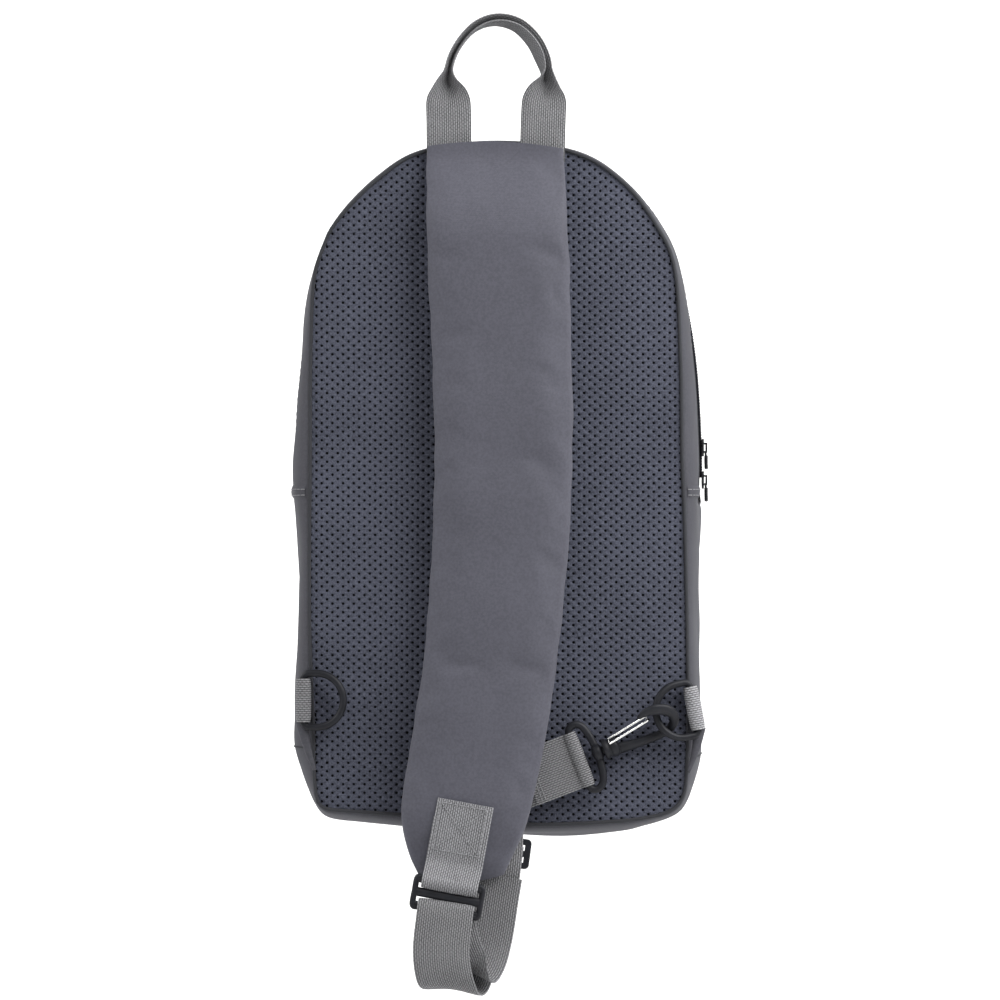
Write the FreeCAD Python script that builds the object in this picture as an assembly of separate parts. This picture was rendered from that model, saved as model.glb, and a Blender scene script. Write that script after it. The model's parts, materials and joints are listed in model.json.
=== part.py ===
"""Sling bag, hanging from its carry handle: one STEP file for each sub-part.

Millimetres. The wearing side faces -Y, +X is the wearer's right as seen from behind the
bag, +Z is up, and the origin is inside the handle's apex, where a hook would hold it.
"""

import FreeCAD, Part
import math
import os

V = FreeCAD.Vector

# ---- driving dimensions -------------------------------------------------------------
# body
BODY_WIDTH = 182.0
BODY_HEIGHT = 311.5
BODY_TOP_Z = -49.5
CROWN_RADIUS = BODY_WIDTH / 2 + 7.0
SHOULDER_RADIUS = BODY_WIDTH / 2 - 4.0
BASE_CORNER_RADIUS = 29.0
WALL = 1.6
BASE_Z = BODY_TOP_Z - BODY_HEIGHT
HEM_Z = BODY_TOP_Z - BODY_HEIGHT / 2 - 1.25
HINGE_GAP = 0.4

# depth stations
PANEL_FACE_Y = 2.4
PANEL_WIDTH = BODY_WIDTH - 15.0
PANEL_DROP = 2.0
PANEL_BASE_RISE = 6.5
PANEL_SHOULDER_RADIUS = SHOULDER_RADIUS - 15.0
PANEL_CORNER_RADIUS = 24.0
MESH_THICK = 3.0
FOAM_THICK = 6.0
LINING_THICK = 0.6
BULGE_Y = 18.0
FRONT_TURN_Y = 72.0
FRONT_SEAM_Y = 86.0
FRONT_PANEL_THICK = 3.0
FRONT_WIDTH = BODY_WIDTH - 12.0
LINING_WIDTH = BODY_WIDTH - 21.0
BINDING_THICK = 1.2
BINDING_REACH = 1.5
SEAM_CLEAR = 0.1
HEM_HIGH = 4.0
HEM_THICK = 0.8

# main zip
ZIP_Y = 35.0
TAPE_REACH = 4.0
TAPE_THICK = 0.8
TAPE_SET_IN = 0.8
COIL_GAP = 1.2
COIL_WIDE = 1.7
COIL_HIGH = 1.2
STOP_LENGTH = 2.4
SLIDER_LENGTH = 8.0
SLIDER_WIDE = 7.0
SLIDER_PLATE = 1.0
SLIDER_CLEAR = 0.25
SLIDER_CORNER = 1.6
BRIDGE_START = 3.0
BRIDGE_END = 0.6
BRIDGE_THICK = 0.7
BAIL_HIGH = 1.6
BAIL_BAR = 0.9
BAIL_LENGTH = 4.6
PULL_LENGTH = 9.5
PULL_WIDE = 4.2
PULL_THICK = 0.9
PULL_EYE_R = 0.65
PULL_FORK_DEEP = 1.3
PULL_CORNER = 1.2
PIVOT_CLEAR = 0.15
LOWER_SLIDER_Z = HEM_Z + 5.0
UPPER_SLIDER_Z = LOWER_SLIDER_Z + 14.5

# front pocket
POCKET_WIDTH = BODY_WIDTH - 44.0
POCKET_TOP_Z = HEM_Z - 10.5
POCKET_BASE_Z = BASE_Z + 18.0
POCKET_DEPTH = 11.0
POCKET_CORNER = 16.0
POCKET_ZIP_Z = POCKET_TOP_Z - 13.0
POCKET_ZIP_LENGTH = POCKET_WIDTH - 22.0
POCKET_SLOT_HIGH = 7.6
POCKET_SLIDER_X = POCKET_ZIP_LENGTH / 2 - 10.0

# carry handle
HANDLE_WEB_WIDE = 20.0
HANDLE_WEB_THICK = 1.8
HANDLE_FOOT_X = 20.8
HANDLE_ARCH_RISE = 19.5
HANDLE_ARCH_INNER = 19.5
HANDLE_ARCH_THICK = 4.2
HANDLE_ARCH_WIDE = 9.6
HANDLE_PINCH_WIDE = 5.0
HANDLE_SPREAD = 15.0
HANDLE_FOOT_Z = -61.0

# D-rings and their tabs
RING_WIRE_R = 1.65
RING_HEIGHT = 24.0
RING_STRAIGHT = 6.0
RING_CORNER_R = 3.0
TAB_WIDE = 20.0
TAB_THICK = 1.4
TAB_BORE_CLEAR = 0.25
TAB_INSET = 1.2
TAB_TAIL = 7.4
RING_BAR_Y = -2.8
LEFT_BAR_X = 4.5 - BODY_WIDTH / 2
LEFT_BAR_Z = BASE_Z + 61.5
LEFT_RING_TILT = 8.0
RIGHT_BAR_X = BODY_WIDTH / 2 - 3.8
RIGHT_BAR_Z = BASE_Z + 58.0
RIGHT_RING_TILT = 17.0
RIGHT_RING_ROLL = 11.0

# padded strap
STRAP_WIDTH = 60.5
STRAP_TOP_Z = -52.5
STRAP_LOW_Z = BASE_Z + 21.0
STRAP_END_Z = BASE_Z - 19.0
STRAP_TOP_X = -1.2
STRAP_MID_X = 2.5
STRAP_LOW_X = -13.4
STRAP_END_X = -17.5
STRAP_END_WIDTH = 30.0
STRAP_SEAM_Y = -1.5
STRAP_BACK_Y = -8.0
STRAP_FULL_Z = -80.0
STRAP_MESH_THICK = 2.0
STRAP_FOAM_THICK = 8.0
STRAP_FACE_THICK = 1.2
STRAP_SEWN_THICK = 0.8
STRAP_TURN_RISE = 6.0
STRAP_TURN_FULL = 3.0

# webbing, strap end ring and tri-glide
WEB_WIDE = 25.0
WEB_THICK = 1.4
BAR_HIGH = 2.7
SLOT_HIGH = 2.6
SLOT_CLEAR = 1.0
SIDE_RAIL = 2.8
BUCKLE_THICK = 3.0
BUCKLE_CORNER = 2.0
BUCKLE_EDGE = 0.5
BAR_CLEAR = 0.1
END_TILT = 10.5
END_RING_X = -21.3
END_RING_Z = STRAP_END_Z - 0.6
END_RING_GAP = 0.3
PATCH_LENGTH = 38.0
GLIDE_TILT = 7.6
GLIDE_X = -1.3
GLIDE_Y = -1.8
GLIDE_Z = END_RING_Z + 14.4
LOOP_BASE_Z = END_RING_Z - 47.9
INNER_LOOP_BASE_Z = LOOP_BASE_Z + 4.5
LEAD_RUN_TOP_Z = GLIDE_Z + 33.2
LEAD_RUN_Y = -6.2

# swivel snap hook
HOOK_X = RIGHT_BAR_X - 40.2
HOOK_Y = -5.0
HOOK_Z = RIGHT_BAR_Z - 18.5
HOOK_RISE = 21.0
HOOK_TURN = 45.0
HOOK_BAR_R = 2.0
HOOK_SPINE_V = -3.6
HOOK_SPINE_LENGTH = 26.5
HOOK_THROAT_R = 7.7
HOOK_TIP_LENGTH = 5.0
HOOK_COLLAR_R = 4.6
HOOK_COLLAR_LENGTH = 6.0
HOOK_COLLAR_WALL = 1.0
EYE_WIDE = WEB_WIDE + 8.0
EYE_BAR_R = 1.8
EYE_SETBACK = 12.0
EYE_KNEE = 5.4
EYE_HUB_U = -3.2
EYE_HUB_R = 4.0
EYE_HUB_V = 3.0
POST_R = 1.9
POST_CLEAR = 0.2
POST_HEAD_R = 3.0
POST_HEAD_LENGTH = 1.2
GATE_WIRE_R = 0.5
GATE_HALF = 1.5
GATE_PIVOT_U = 3.6
GATE_PIVOT_V = 4.0
GATE_TIP_U = 22.6
GATE_TIP_CLEAR = 0.2
GATE_SLOT_BACK = 3.0
GATE_SLOT_AHEAD = 6.0
GATE_SLOT_DEEP = 0.6

HALF = BODY_WIDTH / 2
FOAM_Y = PANEL_FACE_Y + MESH_THICK
LINING_Y = FOAM_Y + FOAM_THICK
COMPARTMENT_Y = LINING_Y + LINING_THICK
BIG = 600.0


# ---- helpers ------------------------------------------------------------------------
class Outline:
    """The bag's outline in an XZ plane: a two-radius arch on straight sides."""

    def __init__(self, half, top, base, crown, shoulder, corner):
        self.sizes = (half, top, base, crown, shoulder, corner)

    def wire(self, y, inset=0.0):
        """The closed outline at depth y, moved inwards by inset all round."""
        half, top, base, crown, shoulder, corner = self.sizes
        half, top, base = half - inset, top - inset, base + inset
        crown, shoulder, corner = crown - inset, shoulder - inset, max(corner - inset, 1.0)
        crown_z = top - crown
        arm = half - shoulder
        rise = math.sqrt((crown - shoulder) ** 2 - arm ** 2)
        spring_z = crown_z + rise
        turn = math.atan2(rise, arm)
        meet_x, meet_z = crown * math.cos(turn), crown_z + crown * math.sin(turn)
        mid_x = arm + shoulder * math.cos(turn / 2)
        mid_z = spring_z + shoulder * math.sin(turn / 2)
        slack = corner * (1 - math.sqrt(0.5))
        edges = [
            line(V(-half, y, base + corner), V(-half, y, spring_z)),
            arc(V(-half, y, spring_z), V(-mid_x, y, mid_z), V(-meet_x, y, meet_z)),
            arc(V(-meet_x, y, meet_z), V(0, y, top), V(meet_x, y, meet_z)),
            arc(V(meet_x, y, meet_z), V(mid_x, y, mid_z), V(half, y, spring_z)),
            line(V(half, y, spring_z), V(half, y, base + corner)),
            arc(V(half, y, base + corner), V(half - slack, y, base + slack), V(half - corner, y, base)),
            line(V(half - corner, y, base), V(-half + corner, y, base)),
            arc(V(-half + corner, y, base), V(-half + slack, y, base + slack),
                V(-half, y, base + corner)),
        ]
        return Part.Wire(edges)

    def plate(self, y0, y1, inset=0.0):
        """A flat plate of this outline from y0 to y1."""
        return Part.Face(self.wire(y0, inset)).extrude(V(0, y1 - y0, 0))

    def band(self, y0, y1, outer_inset, inner_inset):
        """A straight ring between two insets of this outline."""
        return self.plate(y0, y1, outer_inset).cut(self.plate(y0, y1, inner_inset))


def line(a, b):
    """A straight edge."""
    return Part.LineSegment(a, b).toShape()


def arc(a, mid, b):
    """A circular edge through three points."""
    return Part.Arc(a, mid, b).toShape()


def box(x0, x1, y0, y1, z0, z1):
    """A box between two corners."""
    return Part.makeBox(x1 - x0, y1 - y0, z1 - z0, V(x0, y0, z0))


def rod(a, b, radius):
    """A round bar from a to b."""
    return Part.makeCylinder(radius, (b - a).Length, a, b - a)


def tapered_ring(near, far, y0, y1, inset_near, inset_far, wall):
    """The shell between two outlines at two depths, wall thick."""
    outer = Part.makeLoft([near.wire(y0, inset_near), far.wire(y1, inset_far)], True, True)
    inner = Part.makeLoft([near.wire(y0, inset_near + wall), far.wire(y1, inset_far + wall)], True, True)
    return outer.cut(inner)


def above(shape, z):
    """What lies above height z."""
    return shape.common(box(-BIG, BIG, -BIG, BIG, z, BIG))


def below(shape, z):
    """What lies below height z."""
    return shape.common(box(-BIG, BIG, -BIG, BIG, -BIG, z))


def join(first, *others):
    """One solid from touching pieces."""
    return first.fuse(list(others)).removeSplitter()


def frame_at(origin, x_axis, z_axis):
    """A placement whose local X and Z run along the two given directions."""
    x_dir = V(x_axis).normalize()
    z_dir = V(z_axis).normalize()
    y_dir = z_dir.cross(x_dir)
    matrix = FreeCAD.Matrix(
        x_dir.x, y_dir.x, z_dir.x, origin.x,
        x_dir.y, y_dir.y, z_dir.y, origin.y,
        x_dir.z, y_dir.z, z_dir.z, origin.z,
        0, 0, 0, 1)
    return FreeCAD.Placement(matrix)


def placed(shape, placement):
    """A copy of the shape moved into a placement."""
    copy = shape.copy()
    copy.Placement = placement.multiply(copy.Placement)
    return copy


def rounded(shape, radius, edges=None):
    """The shape with its edges rounded."""
    return shape.makeFillet(radius, edges or shape.Edges)


# ---- outlines -----------------------------------------------------------------------
BODY = Outline(HALF, BODY_TOP_Z, BASE_Z, CROWN_RADIUS, SHOULDER_RADIUS, BASE_CORNER_RADIUS)
PANEL = Outline(PANEL_WIDTH / 2, BODY_TOP_Z - PANEL_DROP, BASE_Z + PANEL_BASE_RISE, CROWN_RADIUS,
                PANEL_SHOULDER_RADIUS, PANEL_CORNER_RADIUS)
FRONT = Outline(FRONT_WIDTH / 2, BODY_TOP_Z - PANEL_DROP, BASE_Z + PANEL_BASE_RISE, CROWN_RADIUS,
                PANEL_SHOULDER_RADIUS, PANEL_CORNER_RADIUS)
LINING = Outline(LINING_WIDTH / 2, BODY_TOP_Z - PANEL_DROP - 2 * WALL,
                 BASE_Z + PANEL_BASE_RISE + 2 * WALL, CROWN_RADIUS, PANEL_SHOULDER_RADIUS - 2 * WALL,
                 PANEL_CORNER_RADIUS)


# ---- back panel ---------------------------------------------------------------------
def back_mesh_panel():
    """The spacer mesh against the wearer's back."""
    return PANEL.plate(PANEL_FACE_Y, FOAM_Y, SEAM_CLEAR)


def back_foam():
    """The foam behind the mesh."""
    return PANEL.plate(FOAM_Y, LINING_Y, SEAM_CLEAR)


def back_lining():
    """The compartment's lining on the foam."""
    return PANEL.plate(LINING_Y, COMPARTMENT_Y, SEAM_CLEAR)


def back_seam_binding():
    """The dark binding over the seam round the mesh."""
    return PANEL.band(PANEL_FACE_Y - BINDING_THICK, PANEL_FACE_Y, -WALL, BINDING_REACH)


# ---- gussets and front --------------------------------------------------------------
def rear_ring():
    """The gusset from the back seam to its fullest section, whole ring."""
    flare = tapered_ring(PANEL, BODY, PANEL_FACE_Y, BULGE_Y, -WALL, 0.0, WALL)
    return join(flare, BODY.band(BULGE_Y, ZIP_Y - TAPE_REACH, 0.0, WALL))


def front_ring():
    """The gusset from the zip to the front seam, whole ring."""
    straight = BODY.band(ZIP_Y + TAPE_REACH, FRONT_TURN_Y, 0.0, WALL)
    return join(straight, tapered_ring(BODY, FRONT, FRONT_TURN_Y, FRONT_SEAM_Y, 0.0, 0.0, WALL))


def rear_gusset():
    """The arch between the back panel and the main zip."""
    return above(rear_ring(), HEM_Z)


def lower_gusset():
    """The one-piece wall round the sides and base below the hem."""
    middle = BODY.band(ZIP_Y - TAPE_REACH, ZIP_Y + TAPE_REACH, 0.0, WALL)
    return below(join(rear_ring(), middle, front_ring()), HEM_Z)


def front_gusset():
    """The flap's arch between the main zip and the front panel."""
    return above(front_ring(), HEM_Z + HINGE_GAP)


def front_panel():
    """The whole front panel before it is parted at the hinge line."""
    return FRONT.plate(FRONT_SEAM_Y, FRONT_SEAM_Y + FRONT_PANEL_THICK)


def front_upper_panel():
    """The flap's front."""
    return above(front_panel(), HEM_Z + HINGE_GAP)


def front_lower_panel():
    """The front below the hinge line."""
    return below(front_panel(), HEM_Z)


def lower_lining():
    """The bowl of lining below the hem."""
    walls = LINING.band(COMPARTMENT_Y, FRONT_SEAM_Y - LINING_THICK, 0.0, LINING_THICK)
    front = LINING.plate(FRONT_SEAM_Y - LINING_THICK, FRONT_SEAM_Y)
    return below(join(walls, front), HEM_Z)


def upper_lining():
    """The lining of the arch behind the zip."""
    return above(LINING.band(COMPARTMENT_Y, ZIP_Y - TAPE_REACH, 0.0, LINING_THICK), HEM_Z)


def flap_lining():
    """The lining of the flap."""
    walls = LINING.band(ZIP_Y + TAPE_REACH, FRONT_SEAM_Y - LINING_THICK, 0.0, LINING_THICK)
    front = LINING.plate(FRONT_SEAM_Y - LINING_THICK, FRONT_SEAM_Y)
    return above(join(walls, front), HEM_Z + HINGE_GAP)


def gusset_hems():
    """The raised fold across each side of the gusset under the zip's ends."""
    band = BODY.band(BULGE_Y, ZIP_Y - TAPE_REACH, -HEM_THICK, 0.0)
    slab = box(-BIG, BIG, -BIG, BIG, HEM_Z - HEM_HIGH, HEM_Z)
    return band.common(slab)


# ---- main zip -----------------------------------------------------------------------
def zip_tape_rear():
    """The tape sewn to the rear gusset."""
    tape = BODY.band(ZIP_Y - TAPE_REACH, ZIP_Y - COIL_GAP / 2, TAPE_SET_IN, TAPE_SET_IN + TAPE_THICK)
    return above(tape, HEM_Z)


def zip_tape_front():
    """The tape sewn to the flap."""
    tape = BODY.band(ZIP_Y + COIL_GAP / 2, ZIP_Y + TAPE_REACH, TAPE_SET_IN, TAPE_SET_IN + TAPE_THICK)
    return above(tape, HEM_Z + HINGE_GAP)


def coil(y0, y1, z_low):
    """Half of the zip's coil on the outside of its tape."""
    return above(BODY.band(y0, y1, TAPE_SET_IN - COIL_HIGH, TAPE_SET_IN), z_low)


def zip_coil_rear():
    """The coil on the rear tape."""
    edge = ZIP_Y - COIL_GAP / 2
    return coil(edge - COIL_WIDE, edge, HEM_Z + STOP_LENGTH)


def zip_coil_front():
    """The coil on the flap's tape."""
    edge = ZIP_Y + COIL_GAP / 2
    return coil(edge, edge + COIL_WIDE, HEM_Z + STOP_LENGTH)


def zip_stops():
    """The moulded stop at each end of the rear coil."""
    edge = ZIP_Y - COIL_GAP / 2
    ring = BODY.band(edge - COIL_WIDE, edge, TAPE_SET_IN - COIL_HIGH, TAPE_SET_IN)
    return ring.common(box(-BIG, BIG, -BIG, BIG, HEM_Z, HEM_Z + STOP_LENGTH))


def slider_body():
    """A zip slider in its own frame: X out of the bag, Y across the zip, Z along it."""
    deck = COIL_HIGH + SLIDER_CLEAR
    under = -TAPE_THICK - SLIDER_CLEAR
    half_wide, half_long = SLIDER_WIDE / 2, SLIDER_LENGTH / 2
    top = box(deck, deck + SLIDER_PLATE, -half_wide, half_wide, -half_long, half_long)
    bottom = box(under - SLIDER_PLATE, under, -half_wide, half_wide, -half_long, half_long)
    long_edges = [e for s in (top, bottom) for e in s.Edges if abs(e.tangentAt(0).x) > 0.9]
    top = rounded(top, SLIDER_CORNER, long_edges[:4])
    bottom = rounded(bottom, SLIDER_CORNER, long_edges[4:])
    bridge = box(under, deck, -BRIDGE_THICK / 2, BRIDGE_THICK / 2, half_long - BRIDGE_START,
                 half_long - BRIDGE_END)
    outer = deck + SLIDER_PLATE
    bail = box(outer, outer + BAIL_HIGH, -BAIL_BAR, BAIL_BAR, -BAIL_LENGTH / 2, BAIL_LENGTH / 2)
    window = box(outer, outer + BAIL_HIGH - BAIL_BAR, -BIG, BIG,
                 -BAIL_LENGTH / 2 + BAIL_BAR, BAIL_LENGTH / 2 - BAIL_BAR)
    return join(top, bottom, bridge, bail.cut(window))


def pull_tab():
    """A slider's pull: a forked tab whose two eyes sit beside the bail, hanging along -Z."""
    outer = COIL_HIGH + SLIDER_CLEAR + SLIDER_PLATE
    eye_x = outer + BAIL_HIGH / 2
    eye_z = pull_pivot_z()
    lift = outer + BAIL_HIGH + PIVOT_CLEAR
    tab = box(lift, lift + PULL_THICK, -PULL_WIDE / 2, PULL_WIDE / 2, eye_z - PULL_LENGTH, eye_z)
    foot_edges = [e for e in tab.Edges
                  if abs(e.tangentAt(0).x) > 0.9 and e.CenterOfMass.z < eye_z - PULL_WIDE]
    tab = rounded(tab, PULL_CORNER, foot_edges)
    fork = BAIL_BAR + PIVOT_CLEAR
    notch = box(lift - PULL_THICK, BIG, -fork, fork, eye_z - PULL_FORK_DEEP, BIG)
    eye_long = PULL_WIDE / 2 - fork
    eyes = [Part.makeCylinder(PULL_EYE_R, eye_long, V(eye_x, fork if side > 0 else -fork - eye_long, eye_z),
                              V(0, 1, 0)) for side in (-1, 1)]
    arms = [box(eye_x, lift + PULL_THICK / 2, fork if side > 0 else -fork - eye_long,
                fork + eye_long if side > 0 else -fork, eye_z - PULL_EYE_R, eye_z) for side in (-1, 1)]
    return join(tab.cut(notch), *eyes, *arms)


def pull_pivot_z():
    """Height of a pull's eyes above its slider's middle."""
    return -BAIL_LENGTH / 2 + BAIL_BAR / 2


def on_side(z):
    """Where a slider rides on the right side of the main zip."""
    return FreeCAD.Placement(V(HALF - TAPE_SET_IN, ZIP_Y, z), FreeCAD.Rotation())


def on_pocket():
    """Where the slider rides on the pocket's zip, which runs along X."""
    origin = V(POCKET_SLIDER_X, pocket_face_y() - TAPE_SET_IN, POCKET_ZIP_Z)
    return frame_at(origin, V(0, 1, 0), V(1, 0, 0))


# ---- front pocket -------------------------------------------------------------------
def pocket_face_y():
    """The pocket's outer face."""
    return FRONT_SEAM_Y + FRONT_PANEL_THICK + POCKET_DEPTH


def pocket_block(inset, y0, y1):
    """A rounded slab of the pocket's outline."""
    slab = box(-POCKET_WIDTH / 2 + inset, POCKET_WIDTH / 2 - inset, y0, y1,
               POCKET_BASE_Z + inset, POCKET_TOP_Z - inset)
    upright = [e for e in slab.Edges if abs(e.tangentAt(0).y) > 0.9]
    return rounded(slab, POCKET_CORNER - inset, upright)


def front_pocket():
    """The pocket's shell on the lower front, slotted for its zip."""
    back = FRONT_SEAM_Y + FRONT_PANEL_THICK
    shell = pocket_block(0.0, back, pocket_face_y()).cut(pocket_block(WALL, back, pocket_face_y() - WALL))
    half_long, half_high = POCKET_ZIP_LENGTH / 2, POCKET_SLOT_HIGH / 2
    slot = box(-half_long, half_long, pocket_face_y() - 2 * WALL, BIG,
               POCKET_ZIP_Z - half_high, POCKET_ZIP_Z + half_high)
    return shell.cut(slot)


def pocket_strips(z_near, z_far, y0, y1):
    """A pair of strips, one on each side of the pocket zip's centre line."""
    half_long = POCKET_ZIP_LENGTH / 2
    upper = box(-half_long, half_long, y0, y1, POCKET_ZIP_Z + z_near, POCKET_ZIP_Z + z_far)
    lower = box(-half_long, half_long, y0, y1, POCKET_ZIP_Z - z_far, POCKET_ZIP_Z - z_near)
    return Part.makeCompound([upper, lower])


def pocket_zip_tape():
    """The two tapes of the pocket's zip."""
    face = pocket_face_y() - TAPE_SET_IN
    return pocket_strips(COIL_GAP / 2, POCKET_SLOT_HIGH / 2, face - TAPE_THICK, face)


def pocket_zip_coil():
    """The two coils of the pocket's zip."""
    face = pocket_face_y() - TAPE_SET_IN
    return pocket_strips(COIL_GAP / 2, COIL_GAP / 2 + COIL_WIDE, face, face + COIL_HIGH)


# ---- carry handle -------------------------------------------------------------------
def carry_handle():
    """20 mm webbing: two flat legs that pinch together into a folded arch."""
    centre = V(0, 0, -HANDLE_ARCH_RISE)
    inner, outer = HANDLE_ARCH_INNER, HANDLE_ARCH_INNER + HANDLE_ARCH_THICK
    half_wide = HANDLE_ARCH_WIDE / 2
    tube = Part.makeCylinder(outer, HANDLE_ARCH_WIDE, centre - V(0, half_wide, 0), V(0, 1, 0))
    hole = Part.makeCylinder(inner, HANDLE_ARCH_WIDE, centre - V(0, half_wide, 0), V(0, 1, 0))
    arch = above(tube.cut(hole), -HANDLE_ARCH_RISE)
    legs = [handle_leg(side) for side in (-1, 1)]
    return join(arch, *legs)


def handle_leg(side):
    """One leg, from the folded arch to its foot in the top seam."""
    top_z = -HANDLE_ARCH_RISE
    wide_z = top_z - HANDLE_SPREAD
    middle = side * (HANDLE_ARCH_INNER + HANDLE_ARCH_THICK / 2)
    half = HANDLE_WEB_WIDE / 2
    pinch = HANDLE_ARCH_THICK / 2
    foot = side * HANDLE_FOOT_X
    corners = [V(middle - pinch, 0, top_z), V(middle + pinch, 0, top_z), V(foot + half, 0, wide_z),
               V(foot + half, 0, HANDLE_FOOT_Z), V(foot - half, 0, HANDLE_FOOT_Z), V(foot - half, 0, wide_z)]
    outline = Part.Face(Part.makePolygon(corners + corners[:1]))
    leg = outline.extrude(V(0, HANDLE_WEB_THICK, 0))
    leg.translate(V(0, -HANDLE_WEB_THICK / 2, 0))
    neck = box(middle - pinch, middle + pinch, -HANDLE_PINCH_WIDE / 2, HANDLE_PINCH_WIDE / 2,
               top_z - HANDLE_PINCH_WIDE, top_z)
    return join(leg, neck)


# ---- D-rings ------------------------------------------------------------------------
def d_ring():
    """A moulded D-ring in its own frame: bar on Z, loop towards +X."""
    half = RING_HEIGHT / 2
    near, corner = RING_STRAIGHT, RING_CORNER_R
    slack = corner * (1 - math.sqrt(0.5))
    edges = [
        line(V(0, 0, corner - half), V(0, 0, half - corner)),
        arc(V(0, 0, half - corner), V(slack, 0, half - slack), V(corner, 0, half)),
        line(V(corner, 0, half), V(near, 0, half)),
        arc(V(near, 0, half), V(near + half, 0, 0), V(near, 0, -half)),
        line(V(near, 0, -half), V(corner, 0, -half)),
        arc(V(corner, 0, -half), V(slack, 0, slack - half), V(0, 0, corner - half)),
    ]
    section = Part.Wire(Part.makeCircle(RING_WIRE_R, V(0, 0, 0), V(0, 0, 1)))
    return Part.Wire(edges).makePipeShell([section], True, True)


def bar_frame(side, tilt):
    """The frame of a D-ring's bar: local Z along the bar, local X towards the loop."""
    x, z = (LEFT_BAR_X, LEFT_BAR_Z) if side < 0 else (RIGHT_BAR_X, RIGHT_BAR_Z)
    roll = math.radians(RIGHT_RING_ROLL) if side > 0 else 0.0
    inward = V(-side * math.cos(roll), 0, -math.sin(roll))
    along = V(-math.sin(roll), 0, math.cos(roll))
    lean = math.radians(tilt)
    loop = inward * math.cos(lean) + V(0, -1, 0) * math.sin(lean)
    return frame_at(V(x, RING_BAR_Y, z), loop, along)


def ring_tab(side):
    """20 mm webbing folded round a D-ring's bar, its tail sewn into the back seam."""
    bore = RING_WIRE_R + TAB_BORE_CLEAR
    skin = bore + TAB_THICK
    start, end = TAB_INSET - TAB_WIDE / 2, TAB_WIDE / 2 - TAB_INSET
    sleeve = Part.makeCylinder(skin, end - start, V(0, 0, start))
    outward = sorted((side * skin, side * (skin - 2 * TAB_THICK)))
    tail = box(outward[0], outward[1], 0, TAB_TAIL, start, end)
    hole = Part.makeCylinder(bore, BIG, V(0, 0, -BIG / 2))
    tab = join(sleeve, tail).cut(hole)
    frame = bar_frame(side, 0.0)
    turn = FreeCAD.Placement(V(0, 0, 0), FreeCAD.Rotation(V(0, 0, 1), 180.0 if side > 0 else 0.0))
    return placed(placed(tab, turn), frame)


# ---- padded strap -------------------------------------------------------------------
def strap_outline():
    """The strap seen square on: a gentle sway and a rounded lower end."""
    half = STRAP_WIDTH / 2
    mid_z = (STRAP_TOP_Z + STRAP_LOW_Z) / 2
    end_half = STRAP_END_WIDTH / 2
    turn_z = (STRAP_LOW_Z + STRAP_END_Z) / 2 - STRAP_TURN_RISE
    turn_half = (half + end_half) / 2 + STRAP_TURN_FULL
    turn_x = (STRAP_LOW_X + STRAP_END_X) / 2
    top_left, top_right = V(STRAP_TOP_X - half, 0, STRAP_TOP_Z), V(STRAP_TOP_X + half, 0, STRAP_TOP_Z)
    low_left, low_right = V(STRAP_LOW_X - half, 0, STRAP_LOW_Z), V(STRAP_LOW_X + half, 0, STRAP_LOW_Z)
    end_left = V(STRAP_END_X - end_half, 0, STRAP_END_Z)
    end_right = V(STRAP_END_X + end_half, 0, STRAP_END_Z)
    return Part.Wire([
        arc(top_left, V(STRAP_MID_X - half, 0, mid_z), low_left),
        arc(low_left, V(turn_x - turn_half, 0, turn_z), end_left),
        line(end_left, end_right),
        arc(end_right, V(turn_x + turn_half, 0, turn_z), low_right),
        arc(low_right, V(STRAP_MID_X + half, 0, mid_z), top_right),
        line(top_right, top_left),
    ])


def strap_layer(depth_full, thick_full, depth_sewn):
    """One layer of the strap, thinning to its sewn edge in the top seam."""
    block = Part.Face(strap_outline()).extrude(V(0, -BIG / 4, 0))
    near_y, near_top = STRAP_BACK_Y - depth_full, STRAP_SEAM_Y - depth_sewn
    far_y, far_top = near_y - thick_full, near_top - STRAP_SEWN_THICK
    section = [V(-BIG, near_top, STRAP_TOP_Z + 1), V(-BIG, near_y, STRAP_FULL_Z), V(-BIG, near_y, -BIG),
               V(-BIG, far_y, -BIG), V(-BIG, far_y, STRAP_FULL_Z), V(-BIG, far_top, STRAP_TOP_Z + 1)]
    prism = Part.Face(Part.makePolygon(section + section[:1])).extrude(V(2 * BIG, 0, 0))
    return block.common(prism)


def strap_back_mesh():
    """The strap's mesh side, against the wearer."""
    return strap_layer(0.0, STRAP_MESH_THICK, 0.0)


def strap_foam():
    """The strap's padding."""
    return strap_layer(STRAP_MESH_THICK, STRAP_FOAM_THICK, STRAP_SEWN_THICK)


def strap_face():
    """The strap's smooth outer fabric."""
    return strap_layer(STRAP_MESH_THICK + STRAP_FOAM_THICK, STRAP_FACE_THICK, 2 * STRAP_SEWN_THICK)


def strap_front_y():
    """The strap's outer face."""
    return STRAP_BACK_Y - STRAP_MESH_THICK - STRAP_FOAM_THICK - STRAP_FACE_THICK


# ---- buckles and webbing ------------------------------------------------------------
def fold_radius():
    """Inside radius of webbing folded round a buckle's bar."""
    return math.hypot(BUCKLE_THICK, BAR_HIGH) / 2 + BAR_CLEAR


def bar_pitch():
    """From one bar's centre to the next."""
    return BAR_HIGH + SLOT_HIGH


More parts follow.
